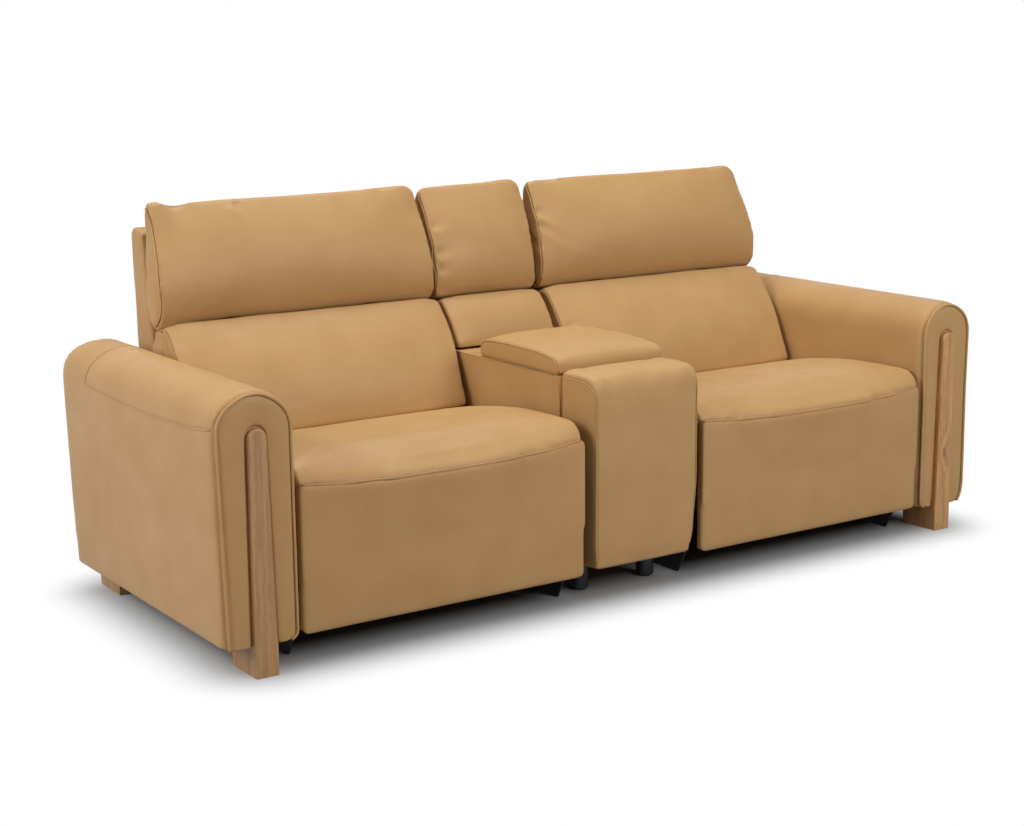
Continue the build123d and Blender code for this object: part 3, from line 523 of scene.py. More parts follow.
def stitches(name, path, normals):
    """A row of single stitches lying on the leather along a line."""
    sizes = bpy.context.scene.loveseat_sizes
    bm = bmesh.new()
    line = resample(path, sizes.stitch)
    tree = point_tree(path)
    for a, b in zip(line, line[1:]):
        middle = (a + b) / 2
        up = normals[tree.find(middle)[1]]
        run = (b - a).normalized()
        up = (up - run * up.dot(run)).normalized()
        side = run.cross(up)
        long, thick = sizes.stitch * 0.36, sizes.stitch * 0.085
        shape = Matrix((run * long, side * thick, up * thick)).transposed().to_4x4()
        bmesh.ops.create_icosphere(
            bm, subdivisions=1, radius=1.0, matrix=Matrix.Translation(middle + up * thick * 0.6) @ shape
        )
    return object_from(name, bm)


def merge(name, objects):
    """Several meshes as one piece."""
    bm = bmesh.new()
    for obj in objects:
        bm.from_mesh(obj.data)
    for obj in objects:
        old = obj.data
        bpy.data.objects.remove(obj)
        bpy.data.meshes.remove(old)
    return object_from(name, bm)


def mirrored(source):
    """A copy of a right-hand piece on the left side of the loveseat."""
    mesh = source.data.copy()
    points = get_points(mesh)
    points[:, 0] *= -1
    set_points(mesh, points)
    mesh.flip_normals()
    mesh.update()
    return new_object(source.name.replace("right", "left"), mesh)


def finish_piece(obj, body, material, nodes=()):
    """Gives a finished piece its material, its body and what it stands for."""
    obj.data.materials.clear()
    obj.data.materials.append(material)
    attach(obj, body)
    if nodes:
        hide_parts(*nodes)
    return obj


def finish_leather(obj, body, nodes=()):
    """The same for a piece in the main leather."""
    finish_piece(obj, body, FINISHES["leather"], nodes)


def bulge_ends(body, centre, half, inner, outer):
    """Pushes out a cushion's inner end, by the console, and its outer one: by amounts or rules on height."""

    def move(x, depth, height):
        along = x - centre
        near = soft_step(half - 0.09, half + 0.004, np.abs(along))
        towards_console = along * centre < 0
        by_console = inner(height) if callable(inner) else inner
        by_arm = outer(height) if callable(outer) else outer
        amount = np.where(towards_console, by_console, by_arm)
        return np.sign(along) * amount * near, 0, 0

    push(body, move)


# Node groups and materials


def new_group(name, inputs, outputs):
    """An empty shader group with its sockets; returns it with its two ends."""
    group = bpy.data.node_groups.new(name, "ShaderNodeTree")
    for label, kind, value in inputs:
        socket = group.interface.new_socket(name=label, in_out="INPUT", socket_type=kind)
        if value is not None:
            socket.default_value = value
    for label, kind in outputs:
        group.interface.new_socket(name=label, in_out="OUTPUT", socket_type=kind)
    start = group.nodes.new("NodeGroupInput")
    end = group.nodes.new("NodeGroupOutput")
    return group, start, end


def add_node(tree, kind, settings=(), **sockets):
    """A node with its settings; a socket takes a value or another node's output."""
    node = tree.nodes.new(kind)
    for key, value in dict(settings).items():
        setattr(node, key, value)
    for label, value in sockets.items():
        socket = node.inputs[int(label[1:])] if label[1:].isdigit() else node.inputs[label.replace("_", " ")]
        if isinstance(value, bpy.types.NodeSocket):
            tree.links.new(value, socket)
        else:
            socket.default_value = value
    return node


def calc(tree, operation, *values, clamp=False):
    """A sum, product or other calculation on numbers."""
    sockets = {f"_{i}": value for i, value in enumerate(values)}
    settings = {"operation": operation, "use_clamp": clamp}
    return add_node(tree, "ShaderNodeMath", settings, **sockets).outputs[0]


def calc_vector(tree, operation, *values):
    """A calculation on vectors; a length comes out as a number."""
    sockets = {f"_{i}": value for i, value in enumerate(values)}
    node = add_node(tree, "ShaderNodeVectorMath", {"operation": operation}, **sockets)
    return node.outputs["Value" if operation == "LENGTH" else "Vector"]


def remap(tree, value, low=0.0, high=1.0, to_low=0.0, to_high=1.0, curve="LINEAR"):
    """A number moved from one range to another and kept inside it."""
    return add_node(
        tree, "ShaderNodeMapRange", {"interpolation_type": curve},
        Value=value, From_Min=low, From_Max=high, To_Min=to_low, To_Max=to_high,
    ).outputs[0]


def blotches(tree, where, scale, detail, roughness):
    """A node of soft noise."""
    return add_node(
        tree, "ShaderNodeTexNoise", Vector=where, Scale=scale, Detail=detail, Roughness=roughness
    )


def mix(tree, share, first, second):
    """One colour passing into another."""
    return add_node(
        tree, "ShaderNodeMix", {"data_type": "RGBA"}, _0=share, _6=first, _7=second
    ).outputs[2]


def dents(tree, height, strength, distance, invert=False):
    """A bump of the surface from a height."""
    return add_node(
        tree, "ShaderNodeBump", {"invert": invert}, Strength=strength, Distance=distance, Height=height
    ).outputs[0]


def hide_grain_group():
    """Pebbled hide: fine cells over slow mottling. Used by the leather and, finer, by the moulded plastic."""
    group, start, end = new_group(
        "pebbled_grain",
        [
            ("Vector", "NodeSocketVector", None),
            ("Pebbles", "NodeSocketFloat", 700.0),
            ("Mottle Size", "NodeSocketFloat", 9.0),
        ],
        [("Height", "NodeSocketFloat"), ("Mottle", "NodeSocketFloat"), ("Pores", "NodeSocketFloat")],
    )
    where = start.outputs["Vector"]
    cells = add_node(
        group, "ShaderNodeTexVoronoi", {"feature": "SMOOTH_F1"},
        Vector=where, Scale=start.outputs["Pebbles"], Smoothness=0.6,
    ).outputs["Distance"]
    folds = blotches(group, where, 160.0, 4.0, 0.6).outputs["Fac"]
    slow = blotches(group, where, start.outputs["Mottle Size"], 5.0, 0.55).outputs["Fac"]
    group.links.new(calc(group, "MULTIPLY_ADD", folds, 0.8, cells), end.inputs["Height"])
    group.links.new(remap(group, slow, 0.32, 0.68), end.inputs["Mottle"])
    group.links.new(remap(group, cells, 0.15, 0.75), end.inputs["Pores"])
    return group


def wood_grain_group():
    """Straight-grained timber along Z with a small knot. Used by the oak and, plainer, by the plywood."""
    group, start, end = new_group(
        "timber_grain",
        [
            ("Vector", "NodeSocketVector", None),
            ("Rings", "NodeSocketFloat", 38.0),
            ("Knot Place", "NodeSocketVector", None),
        ],
        [("Grain", "NodeSocketFloat"), ("Pores", "NodeSocketFloat")],
    )
    where = start.outputs["Vector"]
    warp = blotches(group, where, 45.0, 2.0, 0.5).outputs["Color"]
    warped = calc_vector(group, "MULTIPLY_ADD", warp, (0.012, 0.012, 0.024), where)
    offset = calc_vector(group, "SUBTRACT", warped, start.outputs["Knot Place"])
    reach = calc_vector(group, "LENGTH", calc_vector(group, "MULTIPLY", offset, (85.0, 12.0, 40.0)))
    knot = remap(group, reach, 0.0, 1.0, 1.0, 0.0, "SMOOTHSTEP")
    pull = remap(group, reach, 0.3, 3.0, 0.16, 0.0, "SMOOTHSTEP")
    along = calc_vector(group, "MULTIPLY", warped, (1.0, 1.0, 0.06))
    sway = blotches(group, along, 16.0, 3.0, 0.5).outputs["Fac"]
    rings = calc(group, "MULTIPLY", calc(group, "ADD", pull, sway), start.outputs["Rings"])
    wave = remap(group, calc(group, "SINE", rings), -1.0)
    fibre_run = calc_vector(group, "MULTIPLY", where, (1.0, 1.0, 0.03))
    fibres = blotches(group, fibre_run, 420.0, 3.0, 0.7).outputs["Fac"]
    pores = remap(group, fibres, 0.35, 0.7)
    mixed = calc(group, "MULTIPLY_ADD", wave, 0.42, knot)
    grain = calc(group, "MULTIPLY_ADD", pores, 0.45, mixed, clamp=True)
    group.links.new(grain, end.inputs["Grain"])
    group.links.new(pores, end.inputs["Pores"])
    return group


def new_material(name):
    """An empty node material with its shader and the object's own coordinates."""
    material = bpy.data.materials.new(name)
    material.use_nodes = True
    tree = material.node_tree
    tree.nodes.clear()
    out = tree.nodes.new("ShaderNodeOutputMaterial")
    shader = tree.nodes.new("ShaderNodeBsdfPrincipled")
    tree.links.new(shader.outputs["BSDF"], out.inputs["Surface"])
    where = tree.nodes.new("ShaderNodeTexCoord").outputs["Object"]
    return material, tree, shader, where


def use_group(tree, group, **sockets):
    return add_node(tree, "ShaderNodeGroup", {"node_tree": group}, **sockets).outputs


def wire(tree, shader, colour, rough, bump):
    """Links a finish's colour, roughness and bump to its shader."""
    tree.links.new(colour, shader.inputs["Base Color"])
    tree.links.new(rough, shader.inputs["Roughness"])
    tree.links.new(bump, shader.inputs["Normal"])


def leather(name, pale, deep, pebbles=700.0, strength=0.22):
    """Smooth tan hide: two tans in slow patches, darker pores, broad soft gloss."""
    material, tree, shader, where = new_material(name)
    grain = use_group(tree, GROUPS["hide"], Vector=where, Pebbles=pebbles)
    tan = mix(tree, grain["Mottle"], tuple(deep), tuple(pale))
    shade = remap(tree, grain["Pores"], to_low=1.0, to_high=0.93)
    pored = add_node(tree, "ShaderNodeVectorMath", {"operation": "SCALE"}, _0=tan, Scale=shade)
    rough = remap(tree, grain["Mottle"], to_low=0.50, to_high=0.43)
    wire(tree, shader, pored.outputs[0], rough, dents(tree, grain["Height"], strength, 0.0006))
    shader.inputs["Specular IOR Level"].default_value = 0.20
    return material


def timber(name, pale, pale_right, deep, rings, knot_place, gloss):
    """Lacquered or raw wood with its grain along Z. Left and right pieces have boards of their own tone."""
    material, tree, shader, where = new_material(name)
    grain = use_group(tree, GROUPS["wood"], Vector=where, Rings=rings, Knot_Place=knot_place)
    across = add_node(tree, "ShaderNodeSeparateXYZ", Vector=where).outputs["X"]
    board = mix(tree, remap(tree, across, -0.1, 0.1), tuple(pale), tuple(pale_right))
    colour = mix(tree, grain["Grain"], board, tuple(deep))
    rough = remap(tree, grain["Pores"], to_low=gloss, to_high=gloss + 0.14)
    wire(tree, shader, colour, rough, dents(tree, grain["Pores"], 0.25, 0.0004, invert=True))
    return material


def coated(name, base, worn, metallic, gloss, pebbles, strength):
    """Painted, plated or moulded surface: fine texture, with a paler bloom in slow patches."""
    material, tree, shader, where = new_material(name)
    grain = use_group(tree, GROUPS["hide"], Vector=where, Pebbles=pebbles, Mottle_Size=22.0)
    colour = mix(tree, grain["Mottle"], base, worn)
    rough = remap(tree, grain["Mottle"], to_low=gloss - 0.06, to_high=gloss + 0.08)
    wire(tree, shader, colour, rough, dents(tree, grain["Height"], strength, 0.0003))
    shader.inputs["Metallic"].default_value = metallic
    return material


GROUPS = {}
FINISHES = {}


def make_finishes():
    """Builds the shared groups and every finish once."""
    colours = bpy.context.scene.loveseat_colours
    GROUPS["hide"] = hide_grain_group()
    GROUPS["wood"] = wood_grain_group()
    FINISHES["leather"] = leather("tan_leather", colours.leather, colours.leather_deep)
    FINISHES["welt"] = leather("tan_welt", colours.leather_deep, colours.leather_deep, 900.0, 0.1)
    FINISHES["thread"] = coated(
        "stitching_thread", tuple(colours.thread), tuple(colours.leather), 0.0, 0.6, 2600.0, 0.3
    )
    FINISHES["lining"] = coated(
        "bin_lining", (0.030, 0.026, 0.022, 1), (0.050, 0.043, 0.036, 1), 0.0, 0.85, 1500.0, 0.5
    )
    knot = (1.060, FACE - 0.006, 0.235)
    FINISHES["oak"] = timber("clear_oak", colours.oak, colours.oak_right, colours.oak_deep, 38.0, knot, 0.42)
    plywood, plywood_deep, no_knot = (0.47, 0.31, 0.16, 1), (0.36, 0.22, 0.105, 1), (0.0, 3.0, 0.0)
    FINISHES["plywood"] = timber("raw_plywood", plywood, plywood, plywood_deep, 70.0, no_knot, 0.66)
    FINISHES["black_steel"] = coated(
        "satin_black_steel", (0.007, 0.007, 0.0075, 1), (0.012, 0.012, 0.0125, 1), 0.0, 0.42, 1500.0, 0.12
    )
    FINISHES["steel"] = coated(
        "zinc_plate", (0.27, 0.27, 0.28, 1), (0.34, 0.34, 0.33, 1), 1.0, 0.56, 900.0, 0.08
    )
    FINISHES["plastic"] = coated(
        "moulded_black", (0.016, 0.016, 0.017, 1), (0.024, 0.024, 0.025, 1), 0.0, 0.5, 1800.0, 0.25
    )
    FINISHES["button"] = coated(
        "satin_button", (0.035, 0.035, 0.037, 1), (0.05, 0.05, 0.052, 1), 0.0, 0.33, 2400.0, 0.1
    )


# Arms

HIDE_BELOW = 0.004
SIDE_SEAM = [(0.020, 0.565), (0.12, 0.552), (0.358, 0.541), (0.56, 0.545), (0.745, 0.553)]
PANEL_SHARES = (0.0, 0.02, 0.05, 0.09, 0.14, 0.22, 0.34, 0.48, 0.62, 0.76, 0.88, 0.95, 1.0)
PANEL_TURN_IN = Vector((0, 0.017, 0))
# How far each arm fills out on its inner and outer side, and more at its outer foot
ARM_FILL = {"left": (0.008, 0.009, 0.0), "right": (0.0, 0.003, 0.008)}


def arm_outline(inset, round_foot=0.014, steps=28):
    """Front view of the right arm from its rounded inner foot over the arch to its outer foot."""
    radius = ARCH_RADIUS - inset
    spring = ARM_TOP - ARCH_RADIUS
    inner = ARM_INNER + inset
    outer = ARM_OUTER - ARM_TAPER - inset
    low = ARM_BASE - HIDE_BELOW
    bend = 0.3 * round_foot
    points = [(inner + round_foot, low), (inner + bend, low + bend), (inner, low + round_foot)]
    for i in range(steps + 1):
        turn = math.pi * (1 - i / steps)
        points.append((ARCH_X + radius * math.cos(turn), spring + radius * math.sin(turn)))
    points.append((outer, low))
    return points


def stile_outline(gap, low, steps=16):
    """Front view of the channel round the right stile, open at the foot."""
    radius = STILE_TOP_WIDTH / 2 + gap
    centre = STILE_TOP - STILE_TOP_WIDTH / 2
    foot = STILE_FOOT_WIDTH / 2 + gap
    points = [(STILE_FOOT_X - foot, low)]
    for i in range(steps + 1):
        turn = math.pi * (1 - i / steps)
        points.append((STILE_TOP_X + radius * math.cos(turn), centre + radius * math.sin(turn)))
    points.append((STILE_FOOT_X + foot, low))
    return points


def arm_seams(body):
    """Lapped seam along the outer side and over the rear of the top, with its stitching."""
    sizes = bpy.context.scene.loveseat_sizes
    side = relax(resample([place(ARM_OUTER + 0.004, d, z) for d, z in SIDE_SEAM], 0.01), 6)
    arch = []
    reach = ARCH_RADIUS + 0.004
    for degrees in spread(25, 4, 158):
        turn = math.radians(degrees)
        height = ARM_TOP - ARCH_RADIUS + reach * math.sin(turn)
        arch.append(place(ARCH_X + reach * math.cos(turn), 0.745 - 0.02 * math.sin(turn), height))
    laps = []
    rows = []
    tree = tree_of(body)
    for line, up in ((side, Vector((0, 0, 1))), (arch, Vector((0, -1, 0)))):
        path = relax(on_skin(tree, resample(line, SEW_STEP))[0], 3)
        carve(body, path, 0.004, sizes.seam * 0.5)
        lap, lap_normals = on_skin(tree, [p + up * 0.003 for p in path])
        laps.append(sweep("arm_lap", lap, lap_normals, sizes.welt, sizes.welt * 0.4))
        row, row_normals = on_skin(tree, [p + up * 0.008 for p in path])
        rows.append(stitches("arm_row", row, row_normals))
    return laps, rows


def arm_panel():
    """Padded panel of the arm front: it rolls into the stile's channel and is sewn to the welt outside."""
    outer = resample([place(x, 0, z) for x, z in arm_outline(0.011)], SEW_STEP)
    stations = len(outer)
    inner = [place(x, 0, z) for x, z in stile_outline(0.003, ARM_BASE - HIDE_BELOW)]
    length = sum((b - a).length for a, b in zip(inner, inner[1:]))
    inner = resample(inner, length / (stations - 1))
    roll = 0.009
    bm = bmesh.new()
    rings = []
    for near, far in zip(inner, outer):
        width = (far - near).length
        ring = [near + PANEL_TURN_IN]
        for share in PANEL_SHARES:
            across = share * width
            depth = 0.0025 - 0.002 * math.sin(math.pi * share)
            if across < roll:
                depth += roll - math.sqrt(roll**2 - (roll - across) ** 2)
            depth += 0.004 * float(soft_step(width - 0.010, width, across))
            ring.append(near.lerp(far, share) + Vector((0, depth, 0)))
        ring.append(far + PANEL_TURN_IN)
        rings.append([bm.verts.new(p) for p in ring])
    join_rings(bm, rings)
    return object_from("arm_panel_right", bm)


def dress_arm():
    """The right arm: its padded body, the welt round its front, its front panel and its seams."""
    sizes = bpy.context.scene.loveseat_sizes
    body = node_skin("arm_right", "arm_body_right", sizes.voxel, 5)
    refine(body)
    push(body, lambda x, depth, height: (0, 0, -0.009 * soft_step(0.125, 0.085, height)))
    ripple(body, 0.2, 0.0008, 2)
    laps, rows = arm_seams(body)
    welt_line = relax(resample([place(x, 0.004, z) for x, z in arm_outline(0.009)], SEW_STEP), 3)
    welt = sweep("arm_welt", welt_line, [Vector((0, -1, 0))] * len(welt_line), sizes.rim, sizes.rim)
    edge_line = resample([place(x, 0.012, z) for x, z in arm_outline(0.005)], SEW_STEP)
    carve(body, edge_line, 0.005, 0.003)
    return body, merge("arm_welt_right", [welt, *laps]), merge("arm_stitching_right", rows), arm_panel()


def fill_arm(obj, sign, inner, outer, outer_foot):
    """Fills an arm's two sides out, a little more at the outer foot, and leaves the stile's channel alone."""

    def move(x, depth, height):
        across = np.abs(x) - ARCH_X
        in_share = soft_step(-0.035, -ARCH_RADIUS, across)
        out_share = soft_step(0.035, ARCH_RADIUS - 0.01, across)
        foot = soft_step(0.45, 0.08, height)
        return sign * ((outer + outer_foot * foot) * out_share - inner * in_share), 0, 0

    push(obj, move)


def round_outer_foot(obj, wide, tall):
    """Rounds the lower outer corner of the right arm to part of an oval that ends just below the piece."""

    def move(x, depth, height):
        base = height[x > ARCH_X + 0.05].min() - 0.004
        low = np.clip((base + tall - height) / tall, 0.0, 1.0)
        drawn_in = wide * (1 - np.sqrt(1 - low * low))
        return -drawn_in * soft_step(0.02, ARCH_RADIUS - 0.012, x - ARCH_X), 0, 0

    push(obj, move)


class LOVESEAT_OT_arms(bpy.types.Operator):
    """Pads both arms and sews on their rims, panels and seams"""

    bl_idname = "loveseat.arms"
    bl_label = "Arms"

    def execute(self, context):
        right = dress_arm()
        left = [mirrored(p) for p in right]
        for side, sign, made in (("right", 1, right), ("left", -1, left)):
            for piece in made:
                fill_arm(piece, sign, *ARM_FILL[side])
            body, welt, rows, panel = made
            if sign > 0:
                for piece in (body, welt, panel):
                    round_outer_foot(piece, 0.026, 0.060)
            finish_leather(body, "frame", [f"arm_body_{side}"])
            finish_leather(welt, "frame")
            finish_piece(rows, "frame", FINISHES["thread"])
            finish_leather(panel, "frame", [f"arm_face_{side}"])
        return {"FINISHED"}


# Seats

# Depth, height at the ends and crown of the seat's top behind its nose
SEAT_ROWS = ((0.15, 0.467, 0.006), (0.28, 0.458, 0.008), (0.40, 0.438, 0.007), (0.50, 0.415, 0.004))


def nose(share):
    """Depth and height of the seam between a seat's nose and the footrest below it."""
    full = fullness(share, NOSE_ROUND)
    return 0.004 - 0.038 * full, 0.414 - 0.012 * full


def nose_line(lift, forward, count=61, reach=0.985):
    """That seam across the right seat, moved up and forwards by small amounts."""
    points = []
    for share in spread(count, -reach, reach):
        depth, height = nose(share)
        points.append(place(SEAT_X + share * SEAT_HALF, depth - forward, height + lift))
    return points


def seat_section(share):
    """Side view of a seat cushion: a round nose, a crowned top that keeps its height nearly to the ends."""
    level = fullness(share, 20)
    lip, low = nose(share)
    top = 0.466 + 0.006 * level
    outline = [(0.672, 0.334), (0.060, 0.399), (lip + 0.012, low - 0.002)]
    for turn in (0, 15, 32, 50, 70, 90):
        angle = math.radians(turn)
        outline.append((lip + 0.058 * (1 - math.cos(angle)), low + (top - low) * math.sin(angle)))
    for depth, edge, crown in SEAT_ROWS:
        outline.append((depth, edge + crown * level))
    outline.append((0.672, 0.408))
    return outline


def dress_seat():
    """The right seat cushion with its lapped and topstitched front seam."""
    sizes = bpy.context.scene.loveseat_sizes
    body = loft_skin("seat_right", seat_section, SEAT_X, SEAT_HALF, sizes.voxel, 4)
    lip = near_lines([nose_line(0.0, 0.0)], 0.016)

    def held(p):
        at_end = abs(p.x - SEAT_X) > SEAT_HALF - 0.006
        return p.y - FACE > 0.44 or p.z < 0.41 or at_end or lip(p)

    swell(body, held, 0.009)
    refine(body)
    bulge_ends(body, SEAT_X, SEAT_HALF, 0.003, 0.005)
    ripple(body, 0.13, 0.0012, 5)
    tree = tree_of(body)
    lap, lap_normals = on_skin(tree, nose_line(0.003, 0.004))
    lap = relax(lap, 2)
    row, row_normals = on_skin(tree, nose_line(0.011, 0.004))
    carve(body, [p + Vector((0, 0, 0.006)) for p in lap], 0.004, sizes.seam * 0.3)
    rear = [place(SEAT_X + t * SEAT_HALF, 0.395 - 0.105 * t * t, 0.47) for t in spread(60, -0.98, 0.98)]
    carve(body, on_skin(tree, rear)[0], 0.008, sizes.seam * 1.6)
    seam = sweep("seat_seam_right", lap, lap_normals, sizes.welt * 1.3, sizes.welt * 0.9)
    return body, seam, stitches("seat_stitching_right", row, row_normals)


class LOVESEAT_OT_seats(bpy.types.Operator):
    """Stuffs both seat cushions and sews their front seams"""

    bl_idname = "loveseat.seats"
    bl_label = "Seat cushions"

    def execute(self, context):
        pieces = dress_seat()
        for side, sign in SIDES:
            made = pieces if sign > 0 else [mirrored(p) for p in pieces]
            body, seam, row = made
            finish_leather(body, "frame", [f"seat_cushion_{side}"])
            finish_leather(seam, "frame")
            finish_piece(row, "frame", FINISHES["thread"])
        return {"FINISHED"}


# Footrests


def round_foot_corners(x, height, base, radius):
    """How far a panel's lower corners draw in towards a round of the given radius."""
    across = np.abs(x - SEAT_X) - (SEAT_HALF - radius)
    down = base + radius - height
    corner = (across > 0) & (down > 0)
    far = np.sqrt(across**2 + down**2)
    extra = np.where(corner & (far > radius), 1 - radius / np.maximum(far, 1e-9), 0.0)
    return -np.sign(x - SEAT_X) * across * extra, down * extra


def footrest_section(share):
    """Side view of a footrest panel: its face runs on from the seat's nose, nearly upright below."""
    depth, height = nose(share)
    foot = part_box("footrest_pad_right")[0].z - 0.009
    middle = 0.003 - 0.005 * fullness(share, NOSE_ROUND)
    return [
        (0.034, foot),
        (0.034, height - 0.010),
        (depth + 0.024, height + 0.008),
        (depth + 0.006, height + 0.009),
        (depth, height),
        (0.75 * depth + 0.25 * middle, 0.370),
        (0.35 * depth + 0.65 * middle, 0.310),
        (middle, 0.250),
        (middle + 0.002, 0.160),
        (0.006, foot),
    ]


def dress_footrest():
    """The right footrest panel with the joint across its side boxing."""
    sizes = bpy.context.scene.loveseat_sizes
    body = loft_skin("footrest_right", footrest_section, SEAT_X, SEAT_HALF, sizes.voxel * 0.8, 3)
    refine(body)
    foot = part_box("footrest_pad_right")[0].z - 0.008

    def corners(x, depth, height):
        dx, dz = round_foot_corners(x, height, foot, 0.022)
        return dx, 0, dz

    push(body, corners)
    ripple(body, 0.18, 0.0008, 8)
    for sign in (-1, 1):
        side = [place(SEAT_X + sign * (SEAT_HALF + 0.008), d, 0.246) for d in (0.004, 0.014, 0.024, 0.034)]
        carve(body, side, 0.003, sizes.seam * 0.25)
    return body


class LOVESEAT_OT_footrests(bpy.types.Operator):
    """Pads the two footrest panels below the seats"""

    bl_idname = "loveseat.footrests"
    bl_label = "Footrest panels"

    def execute(self, context):
        right = dress_footrest()
        left = mirrored(right)
        bulge_ends(right, SEAT_X, SEAT_HALF, -0.009, 0.008)
        bulge_ends(left, -SEAT_X, SEAT_HALF, 0.008, 0.001)
        for obj, side in ((right, "right"), (left, "left")):
            body = f"{side}_footrest"
            finish_leather(obj, body, [f"footrest_pad_{side}"])
        return {"FINISHED"}


# Backs


def lumbar_section(share):
    """Side view of a lower back cushion: bowed front, rounded crest in front of the upper cushion."""
    full = fullness(share, CUSHION_ROUND)
    crest = (0.692, 0.688 + 0.005 * fullness(share, 10))
    foot = (0.528 - 0.008 * full, 0.430)
    face = bowed(crest, foot, 0.014 + 0.018 * full)
    behind = [(0.744, 0.430), (0.796, 0.668), (0.740, 0.672), (0.718, 0.680), (0.704, crest[1] - 0.002)]
    return behind + face + [(0.534, 0.416), (0.560, 0.410), (0.620, 0.420)]


def lumbar_welt(sign, out=0.0, back=0.0):
    """The sewn edge at one end of the right lower back cushion, or a line out and back from it."""
    x = SEAT_X + sign * (LUMBAR_HALF + out)
    return [place(x, d + back, z) for d, z in lumbar_section(1)[3:16]]


def stuff_lumbar():
    """The right lumbar cushion, stuffed and not yet sewn."""
    sizes = bpy.context.scene.loveseat_sizes
    body = loft_skin("lumbar_right", lumbar_section, SEAT_X, LUMBAR_HALF, sizes.voxel, 5)
    sewn = near_lines([lumbar_welt(-1), lumbar_welt(1)], HELD_REACH)
    swell(body, lambda p: p.y - FACE > 0.69 or p.z < 0.428 or sewn(p), 0.009)
    refine(body)
    ripple(body, 0.12, 0.0014, 11)
    return body


def fill_lumbar(body, centre, inner, inner_rise, outer, outer_rise):
    """Fills the ends of a lower back cushion out, its rear boxing a little more than the front one."""
    bulge_ends(
        body, centre, LUMBAR_HALF,
        lambda z: inner + inner_rise * soft_step(0.45, 0.62, z),
        lambda z: outer + outer_rise * soft_step(0.45, 0.60, z),
    )

    def rear_boxing(x, depth, height):
        behind = depth - (0.545 + 0.58 * (height - 0.458))
        end = soft_step(LUMBAR_HALF - 0.03, LUMBAR_HALF, np.abs(x - centre))
        drawn_in = 0.016 * soft_step(0.60, 0.66, height) * soft_step(0.05, 0.09, behind)
        return np.sign(x - centre) * end * (0.004 * soft_step(0.036, 0.046, behind) - drawn_in), 0, 0

    push(body, rear_boxing)


def lumbar_seams(body, centre):
    """Sewn edges of a lower back cushion with their stitching, and the joint in its boxing."""
    sizes = bpy.context.scene.loveseat_sizes
    shift = Vector((centre - SEAT_X, 0, 0))
    tree = tree_of(body)
    laps = []
    rows = []
    for sign in (-1, 1):
        line = [p + shift for p in lumbar_welt(sign, SEAM_OUT, SEAM_BACK)]
        path, normals = sewn_line(tree, line, 4)
        carve(body, path, 0.004, sizes.seam * 0.8)
        laps.append(edge_welt("lumbar_lap", path, normals, 0.5))
        row, row_normals = on_skin(tree, [p + Vector((-sign * ROW_IN, -ROW_FORWARD, 0)) for p in path])
        rows.append(stitches("lumbar_row", row, row_normals))
        end = centre + sign * (LUMBAR_HALF + SEAM_OUT)
        joint = [place(end, 0.586 + 0.58 * t, 0.458 + t) for t in spread(30, 0, 0.23)]
        carve(body, on_skin(tree, joint)[0], 0.006, sizes.seam * 2)
    side = "left" if centre < 0 else "right"
    return merge(f"lumbar_seams_{side}", laps), merge(f"lumbar_stitching_{side}", rows)


class LOVESEAT_OT_lumbars(bpy.types.Operator):
    """Stuffs both lower back cushions"""

    bl_idname = "loveseat.lumbars"
    bl_label = "Lower back cushions"

    def execute(self, context):
        right = stuff_lumbar()
        left = mirrored(right)
        fill_lumbar(right, SEAT_X, 0.004, 0.004, 0.007, 0.005)
        fill_lumbar(left, -SEAT_X, 0.010, 0.014, 0.006, 0.006)
        for height, run in ((0.585, 0.05), (0.560, 0.06), (0.535, 0.045)):
            start = place(SEAT_X - 0.96 * LUMBAR_HALF, 0.60 + 0.56 * (height - 0.56), height)
            pucker(right, start, start + Vector((run, 0.004, 0.006)), 0.008, 0.004)
        for cushion, side, sign in ((right, "right", 1), (left, "left", -1)):
            body = f"{side}_back"
            laps, rows = lumbar_seams(cushion, sign * SEAT_X)
            finish_leather(cushion, body, [f"lumbar_cushion_{side}"])
            finish_leather(laps, body)
            finish_piece(rows, body, FINISHES["thread"])
        return {"FINISHED"}


HINGE_SLOT = [(0.728, 0.662), (0.812, 0.662), (0.812, 0.784), (0.728, 0.742)]
HINGE_X, HINGE_SLOT_HALF = 0.200, 0.018


def head_section(share, end_bow=0.038, more_bow=0.014):
    """Side view of an upper back cushion: round underside, face bowed most near its foot, seam at the top."""
    full = fullness(share, CUSHION_ROUND)
    top = (0.788 - 0.002 * full, 0.977 + 0.004 * full)
    face = bowed((0.718, 0.686), top, end_bow + more_bow * full, 0.62)
    return [
        (0.794, 0.722),
        (0.782, 0.693),
        (0.752, 0.678),
        (0.732, 0.679),
        *face,
        (0.802, 0.976 + 0.006 * full),
        (0.818, 0.955 + 0.004 * full),
    ]


def console_head_section(share):
    """The same view of the flatter cushion over the console."""
    return head_section(share, 0.030, 0.016)


def head_welt(centre, half, sign, out=0.0, back=0.0):
    """The sewn edge at one end of an upper back cushion, or a line out and back from it."""
    return [place(centre + sign * (half + out), d + back, z) for d, z in head_section(1)[3:-1]]


